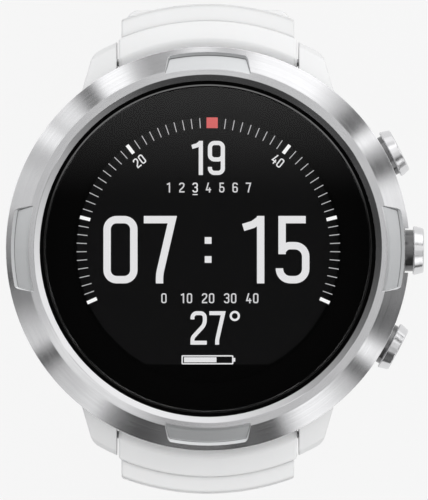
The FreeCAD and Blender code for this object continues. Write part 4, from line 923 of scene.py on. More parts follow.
def settled(values: Points, spread: float = 1.5, reach: int = 5) -> Points:
    """Closed rows of values smoothed along the row.

    Each value becomes the mean of its neighbours, weighted by a bell curve.

    Args:
        values: The rows.
        spread: Width of the bell curve, in steps.
        reach: How many neighbours count on each side.

    Returns:
        The smoothed rows.
    """
    steps = np.arange(-reach, reach + 1)
    weights = np.exp(-0.5 * (steps / spread) ** 2)
    weights = weights / weights.sum()
    return sum(weight * np.roll(values, -int(step), axis=1) for step, weight in zip(steps, weights))


def rounded_corners(centres: Points, radius: float, count: int) -> tuple[Points, Points]:
    """Quarter circles of a rounded rectangle.

    Args:
        centres: Centres of the four corners, anticlockwise from the upper right one.
        radius: Radius of the corners.
        count: Points in each corner.

    Returns:
        Points and outward directions, each 4 by count by 2.
    """
    turn = np.radians(np.arange(4)[:, None] * 90 + np.linspace(0, 90, count)[None, :])
    out = np.stack([np.cos(turn), np.sin(turn)], axis=-1)
    return np.array(centres)[:, None, :] + radius * out, out


# ---------------------------------------------------------------- strap
@dataclass(frozen=True)
class StrapForm:
    """Sizes that both strap halves share."""

    half: float = 11.75
    leg_half: float = 11.4
    tail_half: float = 10.0
    width_step: float = 83.1
    taper_top: float = 73.5
    taper_foot: float = 38.5
    edge_round: float = 0.28
    edge_fade: Pair = (0.15, 0.9)
    crest: Pair = (27.6, 84.5)
    crest_slope: float = 0.5
    step_radius: float = 30.06
    step_top: float = 83.4
    step_foot: float = 82.8
    head_edge: Pair = (32.01, 82.0)
    head_end: Pair = (32.36, 81.3)
    underside: Pair = (30.0, 78.5)
    underside_slope: float = 2.0 / 3.36
    outer_bow: float = 990.8
    outside: float = 31.5
    inner_bow: float = 589.0
    inside: float = 28.9
    inner_top: Pair = (26.9, 72.5)
    heel: tuple[Pair, ...] = ((25.0, 74.7), (21.1, 75.9), (21.1, 77.9), (21.4, 79.5))
    eye: Pair = (24.6, 79.5)
    eye_radius: float = 3.2
    eye_slant: float = 30.0
    flat: float = 7.5
    bend: float = 24.0
    thickness: float = 2.6
    tip_radius: float = 14.0
    rib_pitch: float = 3.2
    rib_depth: float = 0.28
    rib_half: float = 6.6
    rib_fade: float = 0.8
    rib_ends: Pair = (30.0, 68.0)
    rib_end_fade: float = 2.0
    bar_bore: float = 0.94
    cut_past: float = 2.0
    lever_slot: tuple[float, float, float, float] = (-8.25, -5.55, 0.65, 6.2)

    def bend_point(self, radius: float, angle: float) -> tuple[float, float]:
        """Distance from the centre and height of a point of the bend, from straight down."""
        turn = np.radians(angle)
        return self.flat + radius * np.sin(turn), self.bend - radius * np.cos(turn)

    def bow(self, rise: Points, radius: float) -> Points:
        """Depth of a long arc at a height, from its widest place above the bend."""
        return radius - np.sqrt(radius**2 - (rise - self.bend) ** 2)


@dataclass
class StrapHalf:
    """One moulded strap half, from its stepped head to its end."""

    name: str
    side: float
    form: StrapForm
    finish: bpy.types.Material
    level_rounds: int = 24
    edge_points: int = 7
    across_points: int = 31
    head_points: tuple[int, ...] = (24, 22, 6, 18, 8, 14)
    under_points: int = 16
    outer_points: int = 130
    inner_points: int = 200
    heel_points: tuple[int, ...] = (16, 20, 12, 10)
    eye_points: Pair = (10, 12)

    def stations(self) -> tuple[Points, Points, Points]:
        """Where the side outline is repeated across the strap.

        Across the middle the outline only moves sideways. At each edge it also shrinks inwards,
        so that the edge is a quarter circle.

        Returns:
            The share of the flat width, the distance beyond it, and the inset, as columns.
        """
        turn = np.radians(np.linspace(90, 0, self.edge_points)[:-1])
        beyond = self.form.edge_round * np.sin(turn)
        inset = self.form.edge_round * (1 - np.cos(turn))
        middle = np.linspace(-1, 1, self.across_points)
        flat = np.zeros_like(middle)
        share = np.concatenate([-np.ones_like(turn), middle, np.ones_like(turn)])
        out = np.concatenate([-beyond, flat, beyond[::-1]])
        inward = np.concatenate([inset, flat, inset[::-1]])
        return share[:, None], out[:, None], inward[:, None]

    def aside(self, level: Points, share: Points, out: Points) -> Points:
        """Distance aside at a height: wide at the head, then a straight taper to the tail."""
        form = self.form
        leg = np.interp(level, (form.taper_foot, form.taper_top), (form.tail_half, form.leg_half))
        return share * (np.where(level > form.width_step, form.half, leg) - form.edge_round) + out

    def end_runs(self, aside: Points) -> list[tuple[Points, Points]]:
        """Outline of the strap's free end, from the outside to the inside."""
        raise NotImplementedError

    def head(self, share: Points, out: Points, start: tuple, end_level: Points) -> tuple[Points, Points]:
        """Stepped head, whose rings lie on circles about the case axis.

        The distance forward is sqrt(R^2 - x^2).

        Args:
            share: Share of the flat width at each station.
            out: Distance beyond that width at each station.
            start: Radius and height where the head begins.
            end_level: Height where the head ends.

        Returns:
            Distance forward and height.
        """
        form = self.form
        steps = [(form.step_radius, form.step_top), (form.step_radius, form.step_foot)]
        rings = [start, form.crest, *steps, form.head_edge, form.head_end, (form.head_end[0], end_level)]
        runs = [straight(*ends) for ends in zip(rings, rings[1:], self.head_points)]
        radius, height = (joined(rows, len(share)) for rows in zip(*runs))
        return np.sqrt(radius**2 - self.aside(height, share, out) ** 2), height

    def outline(self, share: Points, out: Points) -> tuple[Points, Points, Points]:
        """Closed side outline at each station.

        After the head, the leg is two long arcs, the bend is round, and the heel is a chain of
        straight runs and the arc about the spring bar.

        Args:
            share: Share of the flat width at each station.
            out: Distance beyond that width at each station.

        Returns:
            Distance aside, distance forward and height, each stations by outline points.
        """
        form = self.form
        slant = math.radians(form.eye_slant)
        eye_top = (
            form.eye[0] - form.eye_radius * math.cos(slant),
            form.eye[1] + form.eye_radius * math.sin(slant),
        )
        level = form.head_edge[1] * np.ones_like(share)
        for _ in range(self.level_rounds):
            forward = eye_top[0] + (level - eye_top[1]) * math.tan(slant)
            start = np.hypot(forward, form.half * share)
            level = form.crest[1] - form.crest_slope * (form.crest[0] - start)
        end_forward = np.sqrt(form.head_end[0] ** 2 - (form.leg_half * share) ** 2)
        end_level = form.underside[1] + (end_forward - form.underside[0]) * form.underside_slope
        runs = [self.head(share, out, (start, level), end_level)]
        runs.append(straight((end_forward, end_level), form.underside, self.under_points))
        rise = run(form.underside[1], form.bend, self.outer_points)
        runs.append((form.outside - form.bow(rise, form.outer_bow), rise))
        runs += self.end_runs(share * (form.tail_half - form.edge_round) + out)
        rise = run(form.bend, form.inner_top[1], self.inner_points)
        ribs = self.ribs(rise, self.aside(runs[0][1][:, :1], share, out))
        runs.append((form.inside - form.bow(rise, form.inner_bow) + ribs, rise))
        corners = [form.inner_top, *form.heel]
        runs += [straight(*ends) for ends in zip(corners, corners[1:], self.heel_points)]
        turn = run(0.0, slant, self.eye_points[0])
        across, up = form.eye_radius * np.cos(turn), form.eye_radius * np.sin(turn)
        runs.append((form.eye[0] - across, form.eye[1] + up))
        runs.append(straight(eye_top, (forward, level), self.eye_points[1]))
        forward, height = (joined(rows, len(share)) for rows in zip(*runs))
        return self.aside(height, share, out), forward, height

    def ribs(self, level: Points, aside: Points) -> Points:
        """Depth of the shallow channels inside the leg.

        It is a raised cosine along the strap, cubed to leave flats between, and faded out towards
        the sides and the ends.

        Args:
            level: Height of each point.
            aside: Distance from the middle at each station.

        Returns:
            The depth.
        """
        form = self.form
        wave = 0.5 - 0.5 * np.cos(2 * math.pi * level / form.rib_pitch)
        sides = np.clip((form.rib_half - np.abs(aside)) / form.rib_fade, 0, 1)
        foot, top = form.rib_ends
        lower, upper = (np.clip(past / form.rib_end_fade, 0, 1) for past in (level - foot, top - level))
        return form.rib_depth * wave**3 * sides * (lower * upper)

    def skin(self) -> Solid:
        """Strap without its holes: the side outline repeated across and smoothed.

        Each edge is inset along the outline's normal, and its rounding fades out at the head's
        short underside.

        Returns:
            The closed skin.
        """
        share, out, inset = self.stations()
        aside, forward, height = (settled(v) for v in self.outline(share, out))
        ahead, climb = (np.roll(v, -1, axis=1) - np.roll(v, 1, axis=1) for v in (forward, height))
        length = np.hypot(ahead, climb)
        start, fade = self.form.edge_fade
        inset = inset * np.clip(np.abs(height - self.form.underside[1] - start) / fade, 0.1, 1)
        places = [aside, self.side * (forward + inset * climb / length), height - inset * ahead / length]
        solid = Solid()
        solid.grid(np.stack(places, axis=-1))
        return solid

    def bore(self, radius: float, centre: Pair) -> Solid:
        """Hole across the whole strap.

        Args:
            radius: Radius of the hole.
            centre: Its distance forward and height.

        Returns:
            The shape to take out.
        """
        reach = self.form.half + self.form.cut_past
        profile = np.array([(radius, -reach), (radius, reach)])
        solid = Solid()
        solid.rod(profile, (0, self.side * centre[0], centre[1]), (1, 0, 0))
        return solid

    def cutters(self) -> list[Solid]:
        """Bore for the spring bar, and the slot for the lever of its release pin.

        Returns:
            The shapes to take out.
        """
        forward, level = self.side * self.form.eye[0], self.form.eye[1]
        left, right, half, drop = self.form.lever_slot
        slot = Solid()
        slot.prism(rectangle((left, forward - half), (right, forward + half)), level - drop, level)
        return [self.bore(self.form.bar_bore, self.form.eye), slot]

    def build(self) -> bpy.types.Object:
        """Finished strap half, riding on its own body.

        Returns:
            The object.
        """
        made = self.skin().build(self.name + "_rubber")
        for number, cutter in enumerate(self.cutters()):
            carve(made, cutter.build(f"cutter_{number}"))
        return settle(made, self.finish, self.name, "strap_rubber", self.name)


@dataclass
class LongStrap(StrapHalf):
    """Strap half towards 6 o'clock, with its holes and its rounded tip."""

    hole_radius: float = 1.4
    hole_flare: float = 0.3
    hole_past: float = 0.4
    hole_start: float = 8.0
    hole_step: float = 17.5
    hole_pitch: float = 7.0
    hole_lead: float = 0.3
    bend_points: int = 110
    flat_points: int = 60
    tip_points: int = 12

    def end_runs(self, aside: Points) -> list[tuple[Points, Points]]:
        """Bend, flat, rounded tip and back: the tip is a circle seen from above.

        Args:
            aside: Distance from the middle at each station.

        Returns:
            Distance forward and height of each run's points.
        """
        form, thick = self.form, self.form.thickness
        tip = form.tip_radius - form.flat - np.sqrt(form.tip_radius**2 - aside**2)
        return [
            form.bend_point(form.bend, run(90.0, 0.0, self.bend_points)),
            straight((form.flat, 0.0), (tip, 0.0), self.flat_points),
            straight((tip, 0.0), (tip, thick), self.tip_points),
            straight((tip, thick), (form.flat, thick), self.flat_points),
            form.bend_point(form.bend - thick, run(0.0, 90.0, self.bend_points)),
        ]

    def cutters(self) -> list[Solid]:
        """Bar bore, lever slot and eight buckle holes with softly flared mouths.

        Returns:
            The shapes to take out.
        """
        form, face, flare = self.form, self.form.thickness / 2, self.hole_flare
        middle = form.bend - face
        angles = [self.hole_start + self.hole_step * n for n in range(5)]
        places = [(*form.bend_point(middle, angle), angle) for angle in angles]
        levels = [form.bend + self.hole_pitch * (n - self.hole_lead) for n in range(1, 4)]
        places += [(form.flat + middle, level, 90.0) for level in levels]
        steps = np.linspace(0, math.pi / 2, 6)
        wide, deep = flare * (1 - np.cos(steps)), flare * np.sin(steps)
        mouth = np.stack([self.hole_radius + wide, face - flare + deep], axis=1)
        upper = np.vstack([mouth, (self.hole_radius + flare + self.hole_past, face + self.hole_past)])
        profile = np.concatenate([upper[::-1] * (1, -1), upper])
        holes = Solid()
        for forward, level, angle in places:
            turn = math.radians(angle)
            axis = (0, self.side * math.sin(turn), -math.cos(turn))
            holes.rod(profile, (0, self.side * forward, level), axis)
        return [*super().cutters(), holes]


@dataclass
class ShortStrap(StrapHalf):
    """Strap half towards 12 o'clock, whose end wraps the buckle bar."""

    buckle_angle: float = 32.0
    buckle_bore: float = 0.83
    tongue_room: tuple[float, float, float] = (20.0, 40.0, 1.5)
    tongue_past: float = 1.0
    tongue_points: int = 15
    bend_points: int = 72
    wrap_points: int = 22

    def end_runs(self, aside: Points) -> list[tuple[Points, Points]]:
        """Bend down to the buckle bar, half a turn round it, and back.

        Args:
            aside: Distance from the middle at each station.

        Returns:
            Distance forward and height of each run's points.
        """
        form, last = self.form, self.buckle_angle
        centre = form.bend_point(form.bend - form.thickness / 2, last)
        face, along = math.radians(last), run(0.0, math.pi, self.wrap_points)
        out, on = form.thickness / 2 * np.cos(along), form.thickness / 2 * np.sin(along)
        return [
            form.bend_point(form.bend, run(90.0, last, self.bend_points)),
            (
                centre[0] + out * math.sin(face) - on * math.cos(face),
                centre[1] - out * math.cos(face) - on * math.sin(face),
            ),
            form.bend_point(form.bend - form.thickness, run(last, 90.0, self.bend_points)),
        ]

    def cutters(self) -> list[Solid]:
        """Bar bore, lever slot, bore for the buckle bar and the room for the tongue.

        Returns:
            The shapes to take out.
        """
        form = self.form
        start, end, half = self.tongue_room
        turn = np.linspace(start, end, self.tongue_points)
        outer = form.bend_point(form.bend + self.tongue_past, turn)
        inner = form.bend_point(form.bend - form.thickness - self.tongue_past, turn[::-1])
        forward, level = (np.concatenate(both) for both in zip(outer, inner))
        rows = [np.column_stack([np.full(len(level), x), self.side * forward, level]) for x in (-half, half)]
        room = Solid()
        room.grid(np.stack(rows))
        centre = form.bend_point(form.bend - form.thickness / 2, self.buckle_angle)
        return [*super().cutters(), self.bore(self.buckle_bore, centre), room]


@dataclass
class Keeper:
    """Rubber loop around the strap: a rounded section carried round a rounded rectangle."""

    name: str
    body: str
    start: float
    end: float
    gap: float
    form: StrapForm
    finish: bpy.types.Material
    side: float = 1.0
    wall: float = 1.1
    room: float = 3.0
    half: float = 10.3
    inner_corner: float = 0.45
    section_round: float = 0.4
    corner_points: int = 9
    side_points: int = 20
    round_points: int = 7

    def loop(self) -> tuple[Points, Points]:
        """Inner loop of the keeper and its outward directions.

        The loop is a rectangle with quarter circles for corners: each corner's points are its
        centre plus the corner radius times the direction.

        Returns:
            Points and directions, each across the strap and away from the bend's centre.
        """
        low = self.form.bend - self.form.thickness - self.gap + self.inner_corner
        high = self.form.bend + self.room - self.inner_corner
        aside = self.half - self.inner_corner
        centres = [(aside, high), (-aside, high), (-aside, low), (aside, low)]
        points, out = rounded_corners(centres, self.inner_corner, self.corner_points)
        ends, starts = points[:, -1], np.roll(points[:, 0], -1, axis=0)
        share = np.linspace(0, 1, self.side_points + 2)[1:-1][None, :, None]
        between = ends[:, None] + (starts - ends)[:, None] * share
        held = np.repeat(out[:, -1:], share.shape[1], axis=1)
        return tuple(np.concatenate(pair, axis=1).reshape(-1, 2) for pair in ((points, between), (out, held)))

    def section(self) -> Points:
        """Rounded rectangle of wall thickness by keeper length, the length as an arc length.

        Returns:
            Outline of the section.
        """
        reach = math.radians(self.end - self.start) / 2 * self.form.bend
        r = self.section_round
        centres = [(self.wall - r, reach - r), (r, reach - r), (r, r - reach), (self.wall - r, r - reach)]
        return rounded_corners(centres, r, self.round_points)[0].reshape(-1, 2)

    def build(self) -> bpy.types.Object:
        """Finished keeper, riding on its body: its section carried round the loop and the bend.

        Returns:
            The object.
        """
        points, out = self.loop()
        section = self.section()
        spread = points[:, None, :] + out[:, None, :] * section[None, :, :1]
        middle = math.radians((self.start + self.end) / 2)
        turn = middle + section[None, :, 1] / self.form.bend
        forward = self.form.flat + spread[..., 1] * np.sin(turn)
        level = self.form.bend - spread[..., 1] * np.cos(turn)
        solid = Solid()
        solid.grid(np.stack([spread[..., 0], self.side * forward, level], axis=-1), True)
        return settle(solid.build(self.name + "_rubber"), self.finish, self.body, "strap_rubber", self.name)


# ---------------------------------------------------------------- springs
@dataclass
class ReturnSpring:
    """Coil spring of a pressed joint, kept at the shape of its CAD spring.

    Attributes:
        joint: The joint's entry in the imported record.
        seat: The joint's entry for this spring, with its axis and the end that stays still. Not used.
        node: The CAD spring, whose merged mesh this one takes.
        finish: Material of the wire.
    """

    joint: dict
    seat: dict
    node: bpy.types.Object
    finish: bpy.types.Material

    def wire(self) -> bpy.types.Object:
        """The CAD spring's mesh with its loose triangles joined, as an object of its own.

        Returns:
            The object.
        """
        mesh = bpy.data.meshes.new(f"{self.node.name}_coil")
        merged = bmesh.new()
        merged.from_mesh(self.node.data)
        bmesh.ops.remove_doubles(merged, verts=merged.verts, dist=1e-7)
        merged.to_mesh(mesh)
        merged.free()
        smooth(mesh, CRISP)
        return linked(mesh.name, mesh)

    def build(self) -> bpy.types.Object:
        """The spring, riding on the joint's parent body, where its fixed end rests.

        Returns:
            The object.
        """
        made = self.wire()
        places = np.empty(len(made.data.vertices) * 3)
        made.data.vertices.foreach_get("co", places)
        settle(made, self.finish, self.joint["parent"], "spring_steel", self.node.name)
        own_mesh(made)
        return made


# ---------------------------------------------------------------- display
def rounded_path(corners: list[tuple[float, float, float]]) -> Points:
    """Path through corners, each turned with its own radius. One that starts with a round
    corner returns to its start.

    A corner of radius r starts r * tan(half the turn) before it and follows the circle about the
    point where the two offset lines meet.

    Args:
        corners: Across, up and radius of each corner.

    Returns:
        Points of the path.
    """
    spots = np.array([c[:2] for c in corners], float)
    made = []
    for number, (here, radius) in enumerate(zip(spots, (c[2] for c in corners))):
        if radius == 0:
            made.append(here[None])
            continue
        before, after = here - spots[number - 1], spots[(number + 1) % len(spots)] - here
        before, after = before / np.linalg.norm(before), after / np.linalg.norm(after)
        cross = before[0] * after[1] - before[1] * after[0]
        turn = math.atan2(cross, float(before @ after))
        side = math.copysign(1.0, cross) * np.array((-before[1], before[0]))
        centre = here - before * radius * math.tan(abs(turn) / 2) + side * radius
        angles = np.linspace(0, abs(turn), 10)[:, None]
        made.append(centre + radius * (np.sin(angles) * before - np.cos(angles) * side))
    return np.concatenate(made)


@dataclass(frozen=True)
class Numerals:
    """Narrow numerals of even strokes, drawn about their middle lines."""

    width: float
    height: float
    stroke: float
    corner: float = 0.36
    slim: float = 0.325

    def strokes(self, sign: str) -> list[tuple[Points, bool]]:
        """Middle lines of a numeral, from the lower left corner of its cell.

        Args:
            sign: The numeral.

        Returns:
            Each stroke's points, and whether it is closed.
        """
        # w and h: width and height of the middle lines; r: corner radius; e: half a stroke.
        w, h = self.width - self.stroke, self.height - self.stroke
        r, e = self.corner * w, self.stroke / 2
        reach = min(w, self.slim * self.height - self.stroke)
        left, right = (w - reach) / 2, (w + reach) / 2
        table = {
            "0": [[(0, 0, r), (w, 0, r), (w, h, r), (0, h, r)]],
            "1": [
                [(right, -e, 0), (right, h + e, 0)],
                [(left - e, 0.87 * h, 0), (left + 0.45 * reach, 0.92 * h, 0.5 * reach), (right, 1.01 * h, 0)],
            ],
            "2": [
                [(0, 0.79 * h, 0), (0, h, r), (w, h, r), (w, 0.62 * h, 0.9 * w), (0, 0.17 * h, 0.5 * w)]
                + [(0, 0, 0), (w + e, 0, 0)]
            ],
            "3": [
                [(0, 0.8 * h, 0), (0, h, r), (w, h, r), (w, 0.53 * h, r), (0.35 * w, 0.53 * h, 0)],
                [(0.35 * w, 0.53 * h, 0), (w, 0.53 * h, r), (w, 0, r), (0, 0, r), (0, 0.2 * h, 0)],
            ],
            "4": [
                [(0.5 * w, h + e, 0), (0, 0.24 * h, 0), (w + e, 0.24 * h, 0)],
                [(0.76 * w, 0.5 * h, 0), (0.76 * w, -e, 0)],
            ],
            "5": [
                [(w, h, 0), (0.1 * w, h, 0), (0.1 * w, 0.425 * h, 0)],
                [(0.1 * w, 0.49 * h, 0), (0.3 * w, 0.566 * h, 0.25 * w), (w, 0.566 * h, 1.15 * r)]
                + [(w, 0, 1.15 * r), (0, 0, 1.15 * r), (0, 0.19 * h, 0)],
            ],
            "6": [
                [(w, 0.8 * h, 0), (w, h, r), (0, h, r), (0, 0.3 * h, 0)],
                [(0, 0, r), (w, 0, r), (w, 0.55 * h, r), (0, 0.55 * h, r)],
            ],
            "7": [[(-e, h, 0), (w, h, 0), (0.486 * w, 0.09 * h, 1.8 * w), (0.486 * w, -e, 0)]],
            "9": [
                [(0, 0.45 * h, r), (w, 0.45 * h, r), (w, h, r), (0, h, r)],
                [(w, 0.7 * h, 0), (w, 0, r), (0, 0, r), (0, 0.2 * h, 0)],
            ],
        }
        return [(rounded_path(corners), corners[0][2] > 0) for corners in table[sign]]


@dataclass
class Ink:
    """Thin lit shapes that lie on the display panel."""

    solid: Solid = field(default_factory=Solid)
    level: float = 86.602
    depth: float = 0.016
    step: float = 0.0015
    drawn: int = 0

    def levels(self) -> Pair:
        """Foot and top of the next shape; each is a hair above the last, so none share a face."""
        self.drawn += 1
        return self.level, self.level + self.depth + self.step * (self.drawn % 4)

    def ribbon(self, path: Points, width: float, closed: bool) -> None:
        """Adds a stroke of even width.

        Each side is the middle line moved along the mean of the two neighbouring normals,
        lengthened by one over the cosine of half the turn so that the width stays even.

        Args:
            path: Points of the middle line.
            width: Width of the stroke.
            closed: True if the path returns to its start.
        """
        ahead = np.roll(path, -1, axis=0) - path
        after = ahead / np.maximum(np.linalg.norm(ahead, axis=1, keepdims=True), 1e-9)
        before = np.roll(after, 1, axis=0)
        if not closed:
            after[-1] = before[-1]
            before[0] = after[0]
        mean = before + after
        mean = mean / np.linalg.norm(mean, axis=1, keepdims=True)
        normal = np.stack([-mean[:, 1], mean[:, 0]], axis=1)
        stretch = 1 / np.maximum(np.abs((mean * after).sum(axis=1, keepdims=True)), 0.3)
        left, right = (path + sign * normal * stretch * width / 2 for sign in (1, -1))
        foot, top = self.levels()
        section = [(left, foot), (left, top), (right, top), (right, foot)]
        rows = [np.column_stack([side, np.full(len(path), z)]) for side, z in section]
        self.solid.grid(np.stack(rows, axis=1), closed)

    def number(
        self, signs: str, numerals: Numerals, centre: Pair, pitch: float = 0.0, turn: float = 0.0
    ) -> None:
        """Adds a number about a centre.

        Args:
            signs: Numerals of the number.
            numerals: Their style.
            centre: Middle of the number.
            pitch: Distance from one numeral to the next.
            turn: Degrees anticlockwise.
        """
        ahead, aside = math.cos(math.radians(turn)), math.sin(math.radians(turn))
        spin = np.array([(ahead, aside), (-aside, ahead)])
        for place, sign in enumerate(signs):
            shift = (place - (len(signs) - 1) / 2) * pitch
            corner = np.array((shift - numerals.width / 2, -numerals.height / 2)) + numerals.stroke / 2
            for path, closed in numerals.strokes(sign):
                self.ribbon((path + corner) @ spin + centre, numerals.stroke, closed)

    def bar(self, low: Pair, high: Pair) -> None:
        """Adds an upright rectangle between two corners."""
        self.solid.prism(rectangle(low, high), *self.levels())

    def build(self, name: str, finish: bpy.types.Material) -> bpy.types.Object:
        """Object of the gathered shapes, riding on the case."""
        return settle(self.solid.build(name, 20), finish, "case", "display_black")


@dataclass
class Display:
    """What the display shows: ring of ticks, time, date, week, temperature and charge."""

    white: bpy.types.Material
    bright: bpy.types.Material
    dim: bpy.types.Material
    faint: bpy.types.Material
    red: bpy.types.Material
    black: bpy.types.Material
    ring_centre: Pair = (0.07, -0.11)
    ring_radius: float = 16.65
    ring_reach: float = 113.7
    ring_units: int = 60
    minor: Pair = (1.33, 0.11)
    major: Pair = (1.38, 0.45)
    major_shift: float = 0.05
    print_radii: Pair = (17.65, 21.42)
    print_levels: Pair = (87.205, 87.23)

    def ticks(self) -> list[bpy.types.Object]:
        """Ring of minor ticks, with a broad one at each tenth unit.

        The topmost is left out, because the marker stands there.

        Returns:
            The objects.
        """
        minor, major = Ink(), Ink()
        for unit in range(self.ring_units + 1):
            if unit == self.ring_units // 2:
                continue
            turn = math.radians(-self.ring_reach + 2 * self.ring_reach * unit / self.ring_units)
            ink, (length, width), shift = minor, self.minor, 0.0
            if unit % 10 == 0:
                ink, (length, width), shift = major, self.major, self.major_shift
            out = np.array((math.sin(turn), math.cos(turn)))
            middle = np.array(self.ring_centre) + out * (self.ring_radius + shift)
            ink.ribbon(middle + np.outer((-length / 2, length / 2), out), width, False)
        return [
            minor.build("display_minor_ticks", self.faint),
            major.build("display_major_ticks", self.bright),
        ]

    def figures(self) -> list[bpy.types.Object]:
        """Time, date and temperature in large numerals, with the battery.

        Each row of the table holds the height, stroke and level of its numerals, and each
        numeral's width and place across.

        Returns:
            The objects.
        """
        time, date, warmth, charge = Ink(), Ink(), Ink(), Ink()
        hours, minutes = (("0", 4.48, -11.48), ("7", 4.22, -6.3)), (("1", 2.78, 6.03), ("5", 4.42, 11.13))
        for ink, height, stroke, up, signs in (
            (time, 8.86, 0.97, -0.12, hours + minutes),
            (date, 4.48, 0.55, 11.93, (("1", 1.44, -1.37), ("9", 2.24, 1.12))),
            (warmth, 4.4, 0.52, -10.4, (("2", 2.14, -1.21), ("7", 2.08, 1.24))),
        ):
            for sign, width, across in signs:
                ink.number(sign, Numerals(width, height, stroke), (across, up))
        for up in (1.09, -1.41):
            time.bar((-0.41, up - 0.44), (0.48, up + 0.44))
        turn = np.linspace(0, 2 * math.pi, 33)[:-1]
        warmth.ribbon(np.stack([3.54 + 0.53 * np.cos(turn), -8.83 + 0.53 * np.sin(turn)], axis=1), 0.29, True)
        shell = [(*corner, 0.08) for corner in rectangle((-3.37, -15.1), (3.27, -14.07))]
        charge.ribbon(rounded_path(shell), 0.17, True)
        charge.bar((-3.13, -14.92), (1.13, -14.25))
        charge.bar((3.36, -14.83), (3.6, -14.34))
        inks = {"time": time, "date": date, "temperature": warmth, "battery": charge}
        return [ink.build(f"display_{name}", self.white) for name, ink in inks.items()]

    def small_print(self) -> list[bpy.types.Object]:
        """Small numbers: on the ring, the days of the week, and a temperature scale.

        Returns:
            The objects.
        """
        ring, week, today, scale = Ink(), Ink(), Ink(), Ink()
        for signs, across, turn in (("20", -8.98, 37.9), ("40", 9.18, -37.9)):
            ring.number(signs, Numerals(0.66, 1.28, 0.17), (across, 11.52), 0.84, turn)
        small = Numerals(0.7, 1.3, 0.17)
        for day in range(7):
            (today if day == 2 else week).number(str(day + 1), small, (0.08 + (day - 3) * 1.75, 8.04))
        today.bar((-2.0, 7.06), (-1.34, 7.18))
        for step in range(5):
            scale.number(str(10 * step), small, (0.03 + (step - 2) * 2.9, -6.5), 0.92)
        return [
            ring.build("display_ring_numbers", self.white),
            week.build("display_week", self.dim),
            today.build("display_today", self.white),
            scale.build("display_scale", self.dim),
        ]

    def marker(self) -> bpy.types.Object:
        """Red square at the top of the ring."""
        ink = Ink()
        ink.bar((-0.17, 15.85), (1.3, 17.25))
        return ink.build("display_marker", self.red)

    def border(self) -> bpy.types.Object:
        """Black print around the display, under the glass: a thin turned ring.

        Returns:
            The object.
        """
        solid = Solid()
        profile = rectangle(*zip(self.print_radii, self.print_levels))
        solid.grid(lathe(profile, (0, 0, 0), (0, 0, 1), 160).transpose(1, 0, 2), True)
        return settle(solid.build("border_print", 30), self.black, "case", "display_black")

    def build(self) -> list[bpy.types.Object]:
        """Every shape of the display."""
        return [*self.ticks(), *self.figures(), *self.small_print(), self.marker(), self.border()]


